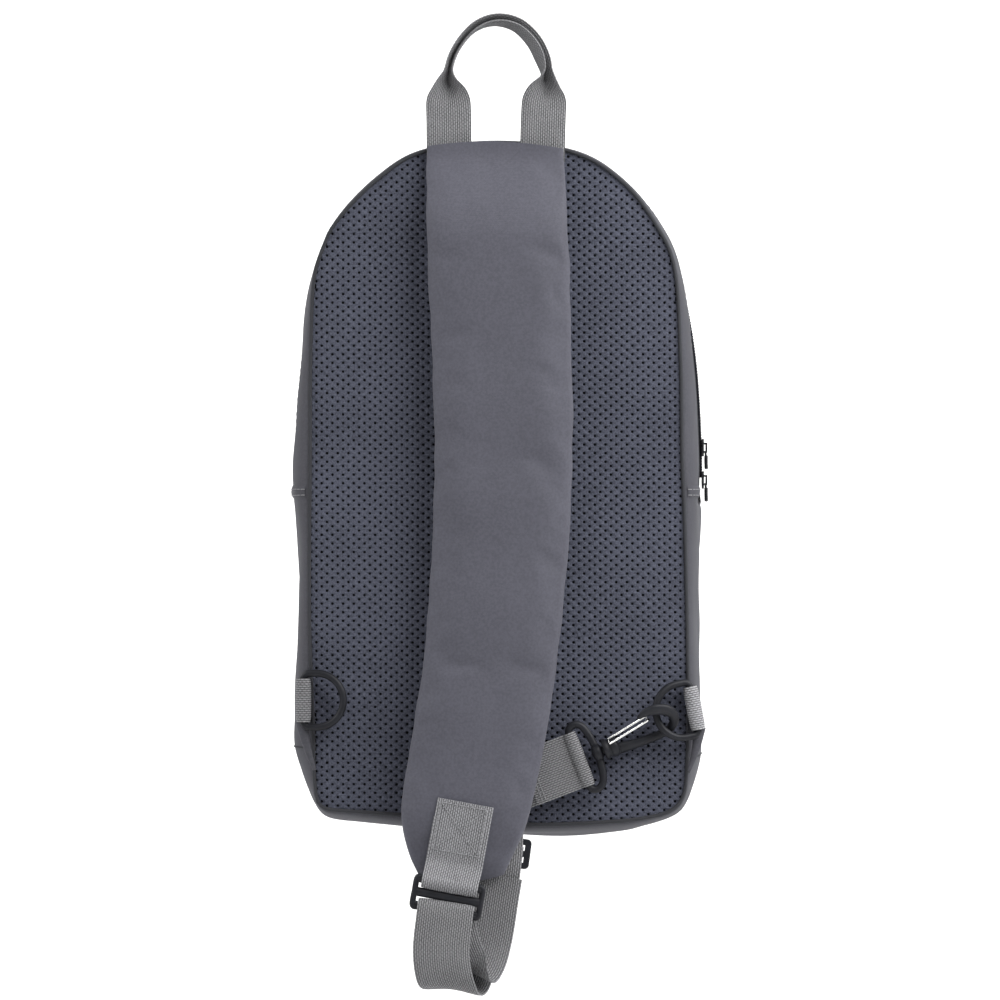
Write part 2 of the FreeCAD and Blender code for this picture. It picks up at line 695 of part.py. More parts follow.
def buckle():
    """A three-bar slide in its own frame, its middle bar on the X axis."""
    slot_wide = WEB_WIDE + SLOT_CLEAR
    half_wide = slot_wide / 2 + SIDE_RAIL
    half_high = bar_pitch() + BAR_HIGH / 2
    plate = box(-half_wide, half_wide, -BUCKLE_THICK / 2, BUCKLE_THICK / 2, -half_high, half_high)
    corners = [e for e in plate.Edges if abs(e.tangentAt(0).y) > 0.9]
    plate = rounded(plate, BUCKLE_CORNER, corners)
    rims = [e for e in plate.Edges if abs(e.CenterOfMass.y) > BUCKLE_THICK / 2 - SEAM_CLEAR]
    plate = rounded(plate, BUCKLE_EDGE, rims)
    slots = [box(-slot_wide / 2, slot_wide / 2, -BIG, BIG, z - SLOT_HIGH / 2, z + SLOT_HIGH / 2)
             for z in (-bar_pitch() / 2, bar_pitch() / 2)]
    return plate.cut(slots[0]).cut(slots[1])


def ring_y():
    """Depth of the strap's end ring, just off the strap's face."""
    return strap_front_y() - END_RING_GAP - fold_radius() - WEB_THICK


def end_frame():
    """The leaning frame of the strap's end ring, on its top bar."""
    lean = math.radians(END_TILT)
    return frame_at(V(END_RING_X, ring_y(), END_RING_Z), V(math.cos(lean), 0, -math.sin(lean)),
                    V(math.sin(lean), 0, math.cos(lean)))


def glide_frame():
    """The frame of the tri-glide, on its middle bar."""
    lean = math.radians(GLIDE_TILT)
    return frame_at(V(GLIDE_X, GLIDE_Y, GLIDE_Z), V(math.cos(lean), 0, -math.sin(lean)),
                    V(math.sin(lean), 0, math.cos(lean)))


def strap_end_ring():
    """The three-bar ring at the strap's lower end."""
    ring = buckle()
    ring.translate(V(0, 0, -bar_pitch()))
    return placed(ring, end_frame())


def tri_glide():
    """The tri-glide behind the strap's lower end."""
    return placed(buckle(), glide_frame())


def fold_sleeve(height=0.0):
    """Webbing folded round a bar that lies on the X axis at the given height."""
    outer, inner = fold_radius() + WEB_THICK, fold_radius()
    start = V(-WEB_WIDE / 2, 0, height)
    skin = Part.makeCylinder(outer, WEB_WIDE, start, V(1, 0, 0))
    return skin.cut(Part.makeCylinder(inner, WEB_WIDE, start, V(1, 0, 0)))


def anchor_patch():
    """The sewn patch that holds the end ring: two plies on the strap, folded round a bar."""
    outer = fold_radius() + WEB_THICK
    plies = box(-WEB_WIDE / 2, WEB_WIDE / 2, outer - 2 * WEB_THICK, outer, fold_radius(), PATCH_LENGTH)
    return placed(join(fold_sleeve(), plies), end_frame())


def hanging_loop(y_front, y_back, top_front, top_back, base_z, x_front, x_back):
    """Webbing hanging in a U from one buckle to the other, shifting sideways as it rises."""
    shift, depth = x_back - x_front, y_back - y_front
    reach = math.hypot(shift, depth)
    radius = reach / 2
    turn_z = base_z + radius
    half = WEB_THICK / 2

    def offset_wire(out):
        """One face of the webbing's U."""
        return [V(-out, 0, top_front), V(-out, 0, turn_z), V(radius, 0, base_z - out),
                V(reach + out, 0, turn_z), V(reach + out, 0, top_back)]

    a, b = offset_wire(half), offset_wire(-half)
    profile = Part.Wire([
        line(a[0], a[1]), arc(a[1], a[2], a[3]), line(a[3], a[4]), line(a[4], b[4]),
        line(b[4], b[3]), arc(b[3], b[2], b[1]), line(b[1], b[0]), line(b[0], a[0]),
    ])
    ribbon = placed(Part.Face(profile), frame_at(V(x_front - WEB_WIDE / 2, y_front, 0),
                                                 V(shift, depth, 0), V(0, 0, 1)))
    return ribbon.extrude(V(WEB_WIDE, 0, 0))


def adjuster_webbing():
    """The slack webbing between the end ring and the tri-glide, in two hanging loops."""
    low_bar = end_frame().multVec(V(0, 0, -2 * bar_pitch()))
    middle = fold_radius() + WEB_THICK / 2
    sleeve = placed(fold_sleeve(-2 * bar_pitch()), end_frame())
    glide_base = GLIDE_Z - bar_pitch() - BAR_HIGH
    outer = hanging_loop(low_bar.y - middle, LEAD_RUN_Y, low_bar.z, glide_base, LOOP_BASE_Z,
                         low_bar.x, GLIDE_X)
    inner = hanging_loop(low_bar.y + middle, GLIDE_Y - middle, low_bar.z, glide_base + BAR_HIGH,
                         INNER_LOOP_BASE_Z, low_bar.x, GLIDE_X)
    ring_room = placed(buckle_room(), end_frame())
    return join(sleeve, outer.cut(ring_room), inner.cut(ring_room))


def buckle_room():
    """The room that the end ring's middle and bottom bars turn in."""
    start = V(-BIG / 2, 0, -2 * bar_pitch())
    return Part.makeCylinder(fold_radius(), BIG, start, V(1, 0, 0))


def glide_end():
    """The webbing's sewn end round the tri-glide's middle bar."""
    return placed(fold_sleeve(), glide_frame())


def hook_axes():
    """The hook's own directions: along its axis, towards its beak."""
    rise, turn = math.radians(HOOK_RISE), math.radians(HOOK_TURN)
    along = V(math.cos(rise), 0, math.sin(rise))
    beak = V(-math.sin(rise) * math.cos(turn), -math.sin(turn), math.cos(rise) * math.cos(turn))
    return along, beak


def hook_frame():
    """Local X along the hook's axis, local Z towards its beak."""
    along, beak = hook_axes()
    return frame_at(V(HOOK_X, HOOK_Y, HOOK_Z), along, beak)


def lead_frame():
    """Local X along the hook's axis, local Y straight through the webbing."""
    along, _ = hook_axes()
    return frame_at(V(HOOK_X, HOOK_Y, HOOK_Z), along, V(0, 1, 0).cross(along) * -1)


def hook_webbing():
    """The webbing from the tri-glide up behind the strap, then across to the hook's eye."""
    along, _ = hook_axes()
    eye_inner = EYE_BAR_R + BAR_CLEAR
    eye_outer = eye_inner + WEB_THICK
    reach = (HOOK_X - GLIDE_X) / along.x
    run = box(-reach, -EYE_SETBACK, -WEB_THICK, WEB_THICK, -WEB_WIDE / 2, WEB_WIDE / 2)
    eye_start = V(-EYE_SETBACK, 0, -WEB_WIDE / 2)
    sleeve = Part.makeCylinder(eye_outer, WEB_WIDE, eye_start)
    bore = Part.makeCylinder(eye_inner, WEB_WIDE, eye_start)
    across = placed(join(run, sleeve).cut(bore), lead_frame())
    rise = box(GLIDE_X - WEB_WIDE / 2, GLIDE_X + WEB_WIDE / 2, LEAD_RUN_Y - WEB_THICK / 2,
               LEAD_RUN_Y + WEB_THICK / 2, GLIDE_Z - bar_pitch() - BAR_HIGH, LEAD_RUN_TOP_Z)
    return join(across, rise)


def hook_eye():
    """The hook's swivel eye: a bar for the webbing, two arms and the headed post."""
    half = EYE_WIDE / 2
    bar = rod(V(-EYE_SETBACK, 0, -half + EYE_BAR_R), V(-EYE_SETBACK, 0, half - EYE_BAR_R), EYE_BAR_R)
    corners = [[V(-EYE_SETBACK, 0, side * (half - EYE_BAR_R)),
                V(EYE_KNEE - EYE_SETBACK, 0, side * (half - EYE_BAR_R)), V(EYE_HUB_U, 0, side * EYE_HUB_V)]
               for side in (-1, 1)]
    arms = [rod(a, b, EYE_BAR_R) for run in corners for a, b in zip(run, run[1:])]
    balls = [Part.makeSphere(EYE_BAR_R, point) for run in corners for point in run[:2]]
    hub = rod(V(EYE_HUB_U - EYE_BAR_R, 0, 0), V(EYE_HUB_U + EYE_BAR_R, 0, 0), EYE_HUB_R)
    head_u = HOOK_COLLAR_LENGTH - HOOK_COLLAR_WALL + POST_CLEAR
    post = rod(V(EYE_HUB_U, 0, 0), V(head_u, 0, 0), POST_R)
    head = rod(V(head_u, 0, 0), V(head_u + POST_HEAD_LENGTH, 0, 0), POST_HEAD_R)
    return placed(join(bar, hub, post, head, *arms, *balls), lead_frame())


def hook_body():
    """The hook: a collar round the swivel post, a spine, a round nose and the beak."""
    top_v = HOOK_SPINE_V + 2 * HOOK_THROAT_R
    nose = V(HOOK_SPINE_LENGTH + HOOK_THROAT_R, 0, HOOK_SPINE_V + HOOK_THROAT_R)
    start, tip = V(HOOK_COLLAR_LENGTH, 0, HOOK_SPINE_V), V(HOOK_SPINE_LENGTH - HOOK_TIP_LENGTH, 0, top_v)
    spine_end, beak_end = V(HOOK_SPINE_LENGTH, 0, HOOK_SPINE_V), V(HOOK_SPINE_LENGTH, 0, top_v)
    path = Part.Wire([line(start, spine_end), arc(spine_end, nose, beak_end), line(beak_end, tip)])
    section = Part.Wire(Part.makeCircle(HOOK_BAR_R, start, V(1, 0, 0)))
    bar = path.makePipeShell([section], True, True)
    tip_ball = Part.makeSphere(HOOK_BAR_R, tip)
    heel_ball = Part.makeSphere(HOOK_BAR_R, start)
    collar_end = HOOK_COLLAR_LENGTH - HOOK_COLLAR_WALL
    collar = Part.makeCylinder(HOOK_COLLAR_R, collar_end, V(0, 0, 0), V(1, 0, 0))
    shoulder = collar_end + 2 * POST_CLEAR + POST_HEAD_LENGTH
    cup = Part.makeCylinder(HOOK_COLLAR_R, shoulder + HOOK_COLLAR_WALL, V(0, 0, 0), V(1, 0, 0))
    bore = Part.makeCylinder(POST_R + POST_CLEAR, shoulder, V(0, 0, 0), V(1, 0, 0))
    pocket = Part.makeCylinder(POST_HEAD_R + POST_CLEAR, shoulder - collar_end,
                               V(collar_end, 0, 0), V(1, 0, 0))
    return placed(join(collar, cup, bar, tip_ball, heel_ball).cut(bore).cut(pocket).cut(gate_room()),
                  hook_frame())


def gate_room():
    """The slots in the collar's side that the gate's legs turn in."""
    reach = GATE_WIRE_R + POST_CLEAR
    back, ahead = GATE_PIVOT_U - GATE_SLOT_BACK, HOOK_COLLAR_LENGTH + GATE_SLOT_AHEAD
    floor = GATE_PIVOT_V - reach - GATE_SLOT_DEEP
    slots = [box(back, ahead, side * GATE_HALF - reach, side * GATE_HALF + reach, floor, BIG / 4)
             for side in (-1, 1)]
    pin = Part.makeCylinder(reach, 2 * GATE_HALF + 2 * reach,
                            V(GATE_PIVOT_U, -GATE_HALF - reach, GATE_PIVOT_V), V(0, 1, 0))
    shelf = box(back, GATE_PIVOT_U + GATE_SLOT_AHEAD, -GATE_HALF, GATE_HALF, floor, BIG / 4)
    return join(slots[0], slots[1], pin, shelf)


def wire_gate():
    """The sprung gate: a U of bright wire from the collar to the underside of the beak."""
    beak_under = HOOK_SPINE_V + 2 * HOOK_THROAT_R - HOOK_BAR_R
    tip_v = beak_under - GATE_WIRE_R - GATE_TIP_CLEAR
    pivots = [V(GATE_PIVOT_U, side * GATE_HALF, GATE_PIVOT_V) for side in (-1, 1)]
    tips = [V(GATE_TIP_U, side * GATE_HALF, tip_v) for side in (-1, 1)]
    legs = [rod(p, t, GATE_WIRE_R) for p, t in zip(pivots, tips)]
    bars = [rod(pivots[0], pivots[1], GATE_WIRE_R), rod(tips[0], tips[1], GATE_WIRE_R)]
    balls = [Part.makeSphere(GATE_WIRE_R, p) for p in pivots + tips]
    return placed(join(legs[0], legs[1], *bars, *balls), hook_frame())


# ---- write --------------------------------------------------------------------------
def parts():
    """Every node's name and solid."""
    return {
        "back_mesh_panel": back_mesh_panel(),
        "back_foam": back_foam(),
        "back_lining": back_lining(),
        "back_seam_binding": back_seam_binding(),
        "rear_gusset": rear_gusset(),
        "lower_gusset": lower_gusset(),
        "gusset_hems": gusset_hems(),
        "front_lower_panel": front_lower_panel(),
        "lower_lining": lower_lining(),
        "upper_lining": upper_lining(),
        "zip_tape_rear": zip_tape_rear(),
        "zip_coil_rear": zip_coil_rear(),
        "zip_stops": zip_stops(),
        "front_upper_panel": front_upper_panel(),
        "front_gusset": front_gusset(),
        "flap_lining": flap_lining(),
        "zip_tape_front": zip_tape_front(),
        "zip_coil_front": zip_coil_front(),
        "main_slider_lower": placed(slider_body(), on_side(LOWER_SLIDER_Z)),
        "main_slider_upper": placed(slider_body(), on_side(UPPER_SLIDER_Z)),
        "main_pull_lower": placed(pull_tab(), on_side(LOWER_SLIDER_Z)),
        "main_pull_upper": placed(pull_tab(), on_side(UPPER_SLIDER_Z)),
        "front_pocket": front_pocket(),
        "pocket_zip_tape": pocket_zip_tape(),
        "pocket_zip_coil": pocket_zip_coil(),
        "pocket_slider": placed(slider_body(), on_pocket()),
        "pocket_pull": placed(pull_tab(), on_pocket()),
        "carry_handle": carry_handle(),
        "d_ring_tab_left": ring_tab(-1),
        "d_ring_tab_right": ring_tab(1),
        "d_ring_left": placed(d_ring(), bar_frame(-1, LEFT_RING_TILT)),
        "d_ring_right": placed(d_ring(), bar_frame(1, RIGHT_RING_TILT)),
        "strap_back_mesh": strap_back_mesh(),
        "strap_foam": strap_foam(),
        "strap_face": strap_face(),
        "anchor_patch": anchor_patch(),
        "strap_end_ring": strap_end_ring(),
        "adjuster_webbing": adjuster_webbing(),
        "adjuster_end": glide_end(),
        "tri_glide": tri_glide(),
        "hook_webbing": hook_webbing(),
        "hook_eye": hook_eye(),
        "hook_body": hook_body(),
        "wire_gate": wire_gate(),
    }


def main():
    """Write each sub-part to its own file and say what it is."""
    os.makedirs("parts", exist_ok=True)
    for name, shape in parts().items():
        if not shape.isValid() or not shape.Solids:
            raise ValueError("bad solid: " + name)
        shape.exportStep("parts/" + name + ".step")
        print(name, len(shape.Solids), round(shape.Volume / 1000, 2), "cm3")


main()
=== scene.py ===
"""The looks of a slim sling bag that hangs from its carry handle.

Metres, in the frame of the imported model: the wearing side faces -Y, +X is to the right when
looking at it, +Z is up and the origin is inside the handle's apex. Sizes in the classes are
in millimetres, as a bag maker writes them, and are turned to metres when a mesh is made.
"""
import json
import logging
import math
from dataclasses import dataclass
from enum import Enum

import bmesh
import bpy
import numpy as np
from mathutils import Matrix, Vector


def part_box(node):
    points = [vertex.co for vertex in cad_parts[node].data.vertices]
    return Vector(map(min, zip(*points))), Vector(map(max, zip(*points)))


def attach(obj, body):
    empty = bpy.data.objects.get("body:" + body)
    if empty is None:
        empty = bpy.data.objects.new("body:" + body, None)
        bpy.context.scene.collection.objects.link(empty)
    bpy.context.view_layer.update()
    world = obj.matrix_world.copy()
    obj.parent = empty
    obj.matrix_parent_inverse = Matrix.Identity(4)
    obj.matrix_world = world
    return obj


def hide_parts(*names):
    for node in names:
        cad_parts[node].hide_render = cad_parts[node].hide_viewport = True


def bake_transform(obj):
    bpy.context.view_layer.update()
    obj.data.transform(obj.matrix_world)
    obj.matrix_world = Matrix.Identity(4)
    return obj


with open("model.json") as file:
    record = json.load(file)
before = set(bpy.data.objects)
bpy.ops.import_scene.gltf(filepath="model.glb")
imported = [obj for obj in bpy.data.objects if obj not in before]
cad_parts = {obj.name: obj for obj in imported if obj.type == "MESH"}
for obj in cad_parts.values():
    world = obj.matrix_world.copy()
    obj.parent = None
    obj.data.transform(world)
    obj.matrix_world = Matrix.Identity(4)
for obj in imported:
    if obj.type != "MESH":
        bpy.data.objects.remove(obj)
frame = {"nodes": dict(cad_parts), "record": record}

LOG = logging.getLogger("sling_bag")
MM = 0.001
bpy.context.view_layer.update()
Points = np.ndarray
TO_WEARER = np.array([0.0, -1.0, 0.0])
TO_FRONT = np.array([0.0, 1.0, 0.0])
# Stitches: one's length, the gap to the next and half the thread's thickness, in millimetres.
SEAM_STITCH = (2.4, 0.9, 0.2)
HEM_STITCH = (2.2, 0.9, 0.2)
PATCH_STITCH = (2.0, 0.6, 0.27)
SLEEVE_STITCH = (1.8, 0.5, 0.3)
LEAD_STITCH = (1.7, 0.4, 0.24)


# ---- small geometry tools -----------------------------------------------------------
def spline(points: list, count: int, closed: bool = False) -> Points:
    """A smooth curve through given points.

    Args:
        points: The points it passes through.
        count: How many evenly spaced stations to return.
        closed: Whether it joins up with itself.

    Returns:
        The stations, evenly spaced along the curve.
    """
    pts = np.asarray(points, float)
    if closed:
        ring = np.vstack([pts[-1], pts, pts[:2]])
    else:
        ring = np.vstack([2 * pts[0] - pts[1], pts, 2 * pts[-1] - pts[-2]])
    dense = []
    for a, b, c, d in zip(ring, ring[1:], ring[2:], ring[3:]):
        for t in np.linspace(0, 1, 24, endpoint=False):
            dense.append(0.5 * (2 * b + (c - a) * t + (2 * a - 5 * b + 4 * c - d) * t ** 2
                                + (3 * b - a - 3 * c + d) * t ** 3))
    dense.append(pts[0] if closed else pts[-1])
    dense = np.array(dense)
    run = np.concatenate([[0], np.cumsum(np.linalg.norm(np.diff(dense, axis=0), axis=1))])
    marks = np.linspace(0, run[-1], count, endpoint=not closed)
    return np.stack([np.interp(marks, run, dense[:, i]) for i in range(dense.shape[1])], axis=1)


def unit(vectors: Points) -> Points:
    """The vectors, each one long."""
    return vectors / np.maximum(np.linalg.norm(vectors, axis=-1, keepdims=True), 1e-9)


def tangents(path: Points, closed: bool = False) -> Points:
    """The direction of travel at each station of a path.

    Args:
        path: Its stations.
        closed: Whether it joins up with itself.

    Returns:
        The directions, each one long.
    """
    if closed:
        return unit(np.roll(path, -1, 0) - np.roll(path, 1, 0))
    return unit(np.gradient(path, axis=0))


def run_of(path: Points) -> Points:
    """The distance along a path at each of its stations."""
    return np.concatenate([[0], np.cumsum(np.linalg.norm(np.diff(path, axis=0), axis=1))])


def arc(turn: Points, first: Points, second: Points) -> Points:
    """Directions round a circle, turned from the first one towards the second."""
    return np.cos(turn)[:, None] * first + np.sin(turn)[:, None] * second


def ripple(x: Points, z: Points, size: float, seed: float) -> Points:
    """A soft uneven wave, from -1 to 1, for cloth that isn't quite flat.

    Args:
        x: First coordinate, in millimetres.
        z: Second coordinate, in millimetres.
        size: Distance from crest to crest, in millimetres.
        seed: A number that tells one wave from another.

    Returns:
        The wave's height at each point.
    """
    k = 2 * math.pi / size
    return (np.sin(k * x + 1.7 * seed + 1.3 * np.sin(0.61 * k * z + seed))
            + np.sin(0.83 * k * z + 2.9 * seed + 1.1 * np.sin(0.47 * k * x - seed))) / 2


def smooth_step(x: Points, low: float, high: float) -> Points:
    """0 below low, 1 above high, and smooth between."""
    t = np.clip((x - low) / (high - low), 0, 1)
    return t * t * (3 - 2 * t)


class Cloth:
    """A mesh in the making: vertices in millimetres, faces, and each corner's place."""

    def __init__(self) -> None:
        """Start empty."""
        self.points: list = []
        self.faces: list = []
        self.slots: list = []
        self.places: list = []
        self.total = 0

    def add(self, points: Points, faces: Points, places: Points, slot: int = 0) -> None:
        """Add a patch.

        Args:
            points: Its vertices, in millimetres.
            faces: Its faces, as rows of vertex numbers.
            places: For each vertex, how far across and along the cloth it lies.
            slot: Which of the piece's materials it takes.
        """
        self.points.append(np.asarray(points, float).reshape(-1, 3))
        self.faces.extend((np.asarray(faces) + self.total).tolist())
        self.slots.extend([slot] * len(faces))
        self.places.append(np.asarray(places, float).reshape(-1, 2))
        self.total += len(self.points[-1])

    def grid(self, points: Points, places: Points = None, wrap_rows: bool = False,
             wrap_columns: bool = False, slot: int = 0, flip: bool = False) -> None:
        """Add a rows by columns patch.

        Args:
            points: Vertices, rows by columns by three.
            places: Each vertex's place across and along the cloth.
            wrap_rows: Whether the last row meets the first.
            wrap_columns: Whether the last column meets the first.
            slot: Which material it takes.
            flip: Whether its faces turn the other way.
        """
        rows, columns = points.shape[:2]
        r = np.arange(rows if wrap_rows else rows - 1)
        c = np.arange(columns if wrap_columns else columns - 1)
        rr, cc = np.meshgrid(r, c, indexing="ij")
        r2, c2 = (rr + 1) % rows, (cc + 1) % columns
        corners = [rr * columns + cc, r2 * columns + cc, r2 * columns + c2, rr * columns + c2]
        quads = np.stack(corners, axis=-1).reshape(-1, 4)
        if places is None:
            places = points[..., [0, 2]]
        self.add(points, quads[:, ::-1] if flip else quads, places, slot)

    def fan(self, points: Points, middle: Points, slot: int = 0, flip: bool = False) -> None:
        """Close a loop of points with a fan of triangles to its middle.

        Args:
            points: The loop.
            middle: Where the triangles meet.
            slot: Which material it takes.
            flip: Whether its faces turn the other way.
        """
        count = len(points)
        ring = np.arange(count)
        faces = np.stack([ring, (ring + 1) % count, np.full(count, count)], axis=1)
        both = np.vstack([points, [middle]])
        self.add(both, faces[:, ::-1] if flip else faces, both[:, [0, 2]], slot)

    def tube(self, path: Points, radius: Points, sides: int = 8, closed: bool = False,
             slot: int = 0, aspect: Points = 1.0, up: Points = (0, -1, 0)) -> None:
        """Add a round or oval tube along a path.

        Args:
            path: Stations, in millimetres.
            radius: Radius at each station, or one for all.
            sides: Faces round it.
            closed: Whether the path is a ring.
            slot: Which material it takes.
            aspect: Its width along the up direction as a share of the radius.
            up: A direction that is never along the path.
        """
        along = tangents(path, closed)
        side = unit(np.cross(along, np.asarray(up, float)))
        over = np.cross(side, along)
        radius = np.broadcast_to(np.asarray(radius, float), (len(path),))
        aspect = np.broadcast_to(np.asarray(aspect, float), (len(path),))
        turn = np.linspace(0, 2 * math.pi, sides, endpoint=False)
        ring = (path[:, None] + radius[:, None, None] * np.cos(turn)[None, :, None] * side[:, None]
                + (radius * aspect)[:, None, None] * np.sin(turn)[None, :, None] * over[:, None])
        far = run_of(path)
        places = np.stack(np.broadcast_arrays(turn[None, :] * radius.mean(), far[:, None]), axis=-1)
        self.grid(ring, places, wrap_rows=closed, wrap_columns=True, slot=slot)
        if not closed:
            self.fan(ring[0], path[0] - along[0] * radius[0] * 0.3, slot)
            self.fan(ring[-1], path[-1] + along[-1] * radius[-1] * 0.3, slot, flip=True)

    def ribbon(self, path: Points, across: Points, width: Points, thick: float = 1.4,
               columns: int = 12, crown: float = 0.12, slot: int = 0, along: Points = None) -> None:
        """Add flat webbing along a path, with rounded selvedges.

        Args:
            path: Stations along its middle.
            across: The direction of its width at each station.
            width: Its width, one or one for each station.
            thick: Its thickness.
            columns: Faces across it.
            crown: How much thicker its middle is than its edges.
            slot: Which material it takes.
            along: Its direction of travel at each station, where the path is part of a longer one.
        """
        across = np.broadcast_to(np.asarray(across, float), path.shape)
        along = tangents(path) if along is None else along
        across = unit(across - along * np.sum(across * along, axis=1, keepdims=True))
        normal = np.cross(across, along)
        width = np.broadcast_to(np.asarray(width, float), (len(path),))
        s = np.linspace(-1, 1, columns + 1)
        edge = thick / 2 * (1 - 0.62 * np.abs(s) ** 9) + crown * (1 - s ** 2)
        shape = np.concatenate([np.stack([s, edge], 1), np.stack([s[::-1], -edge[::-1]], 1)])
        ring = (path[:, None] + (width / 2)[:, None, None] * shape[None, :, :1] * across[:, None]
                + shape[None, :, 1:] * normal[:, None])
        far = run_of(path)
        aside = (width / 2)[:, None] * shape[None, :, 0]
        places = np.stack(np.broadcast_arrays(aside, far[:, None]), axis=-1)
        self.grid(ring, places, wrap_columns=True, slot=slot)
        for end, flip in ((0, False), (-1, True)):
            self.fan(ring[end], path[end], slot, flip)

    def stitches(self, path: Points, normal: Points, length: float = 2.6, gap: float = 0.9,
                 radius: float = 0.22, slot: int = 0) -> None:
        """Add a row of lockstitches lying on the cloth.

        Args:
            path: The seam line.
            normal: The direction out of the cloth, one or one for each station.
            length: Length of one stitch.
            gap: Space between stitches.
            radius: Half the thread's thickness.
            slot: Which material it takes.
        """
        far = run_of(path)
        normal = np.broadcast_to(np.asarray(normal, float), path.shape)
        for start in np.arange(0, far[-1] - length, length + gap):
            marks = np.linspace(start, start + length, 5)
            line = np.stack([np.interp(marks, far, path[:, i]) for i in range(3)], axis=1)
            out = np.stack([np.interp(marks, far, normal[:, i]) for i in range(3)], axis=1)
            lift = np.array([-0.5, 0.55, 0.8, 0.55, -0.5]) * radius
            self.tube(line + out * lift[:, None], radius, sides=5, slot=slot, up=out.mean(axis=0))

    def make(self, name: str, finishes: list, sharp: float = 50.0, merge: float = 0.0) -> bpy.types.Object:
        """Turn it into an object in metres.

        Args:
            name: The piece's name.
            finishes: Its materials.
            sharp: Edges that turn more than this stay sharp, in degrees.
            merge: Join vertices nearer than this, in millimetres.

        Returns:
            The new object, linked to the scene.
        """
        mesh = bpy.data.meshes.new(name)
        mesh.from_pydata((np.vstack(self.points) * MM).tolist(), [], self.faces)
        corners = np.zeros(len(mesh.loops), np.int32)
        mesh.loops.foreach_get("vertex_index", corners)
        places = np.vstack(self.places)[corners] * 0.1
        layer = mesh.uv_layers.new(name="place")
        layer.data.foreach_set("uv", places.astype(np.float32).ravel())
        mesh.polygons.foreach_set("material_index", np.array(self.slots, np.int32))
        for finish in finishes:
            mesh.materials.append(finish.material())
        piece = bpy.data.objects.new(name, mesh)
        bpy.context.scene.collection.objects.link(piece)
        if merge:
            weld(piece, merge * MM)
        mesh.polygons.foreach_set("use_smooth", [True] * len(mesh.polygons))
        mesh.set_sharp_from_angle(angle=math.radians(sharp))
        mesh.update()
        return piece


def weld(piece: bpy.types.Object, distance: float) -> None:
    """Join vertices that lie on each other and turn all faces outwards.

    Args:
        piece: The piece, changed in place.
        distance: How near two vertices must lie, in metres.
    """
    bm = bmesh.new()
    bm.from_mesh(piece.data)
    bmesh.ops.remove_doubles(bm, verts=bm.verts, dist=distance)
    bmesh.ops.recalc_face_normals(bm, faces=bm.faces)
    bm.to_mesh(piece.data)
    bm.free()


def settle(piece: bpy.types.Object, body: str, slot: str, *stands_for: str) -> bpy.types.Object:
    """Fix a piece to its body and hide the plain solids it stands for.

    Args:
        piece: The finished piece.
        body: The body it rides on.
        slot: The record's material slot; not used.
        stands_for: The CAD nodes it replaces.

    Returns:
        The same piece.
    """
    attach(piece, body)
    if stands_for:
        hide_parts(*stands_for)
    LOG.info("%s rides on %s", piece.name, body)
    return piece


def puff(piece: bpy.types.Object, held: list, pressure: float, slack: float, most: float,
         frames: int = 16) -> None:
    """Let a padded piece's fabric settle over its filling, by cloth simulation.

    Args:
        piece: A closed mesh with no parent.
        held: The vertices that its seams hold.
        pressure: How hard the filling pushes.
        slack: How much longer the cloth is than its pattern.
        most: The furthest that any point may move, in millimetres.
        frames: How long it settles.
    """
    scene = bpy.context.scene
    group = piece.vertex_groups.new(name="seams")
    group.add([int(i) for i in held], 1.0, "REPLACE")
    before = np.zeros(len(piece.data.vertices) * 3, np.float32)
    piece.data.vertices.foreach_get("co", before)
    cloth = piece.modifiers.new("settle", "CLOTH")
    rules = cloth.settings
    rules.quality, rules.mass, rules.air_damping = 6, 0.25, 4.0
    rules.tension_stiffness = rules.compression_stiffness = 12.0
    rules.bending_stiffness, rules.shrink_min = 0.4, -slack
    rules.use_pressure, rules.uniform_pressure_force = True, pressure
    rules.vertex_group_mass = "seams"
    rules.effector_weights.gravity = 0.0
    cloth.collision_settings.use_collision = cloth.collision_settings.use_self_collision = False
    cloth.point_cache.frame_start, cloth.point_cache.frame_end = 1, frames
    for number in range(1, frames + 1):
        scene.frame_set(number)
    settled = piece.evaluated_get(bpy.context.evaluated_depsgraph_get()).data
    after = np.zeros_like(before)
    settled.vertices.foreach_get("co", after)
    move = (after - before).reshape(-1, 3)
    size = np.linalg.norm(move, axis=1, keepdims=True)
    move = move * np.minimum(1.0, most * MM / np.maximum(size, 1e-9))
    piece.modifiers.remove(cloth)
    piece.vertex_groups.remove(group)
    scene.frame_set(1)
    piece.data.vertices.foreach_set("co", (before.reshape(-1, 3) + np.nan_to_num(move)).ravel())
    piece.data.update()
    LOG.info("%s settled, moving %.2f mm at most", piece.name, float(size.max() / MM))


def joint(name: str) -> dict:
    """A joint's entry in the record."""
    return next(j for j in frame["record"]["behaviour"]["joints"] if j["name"] == name)


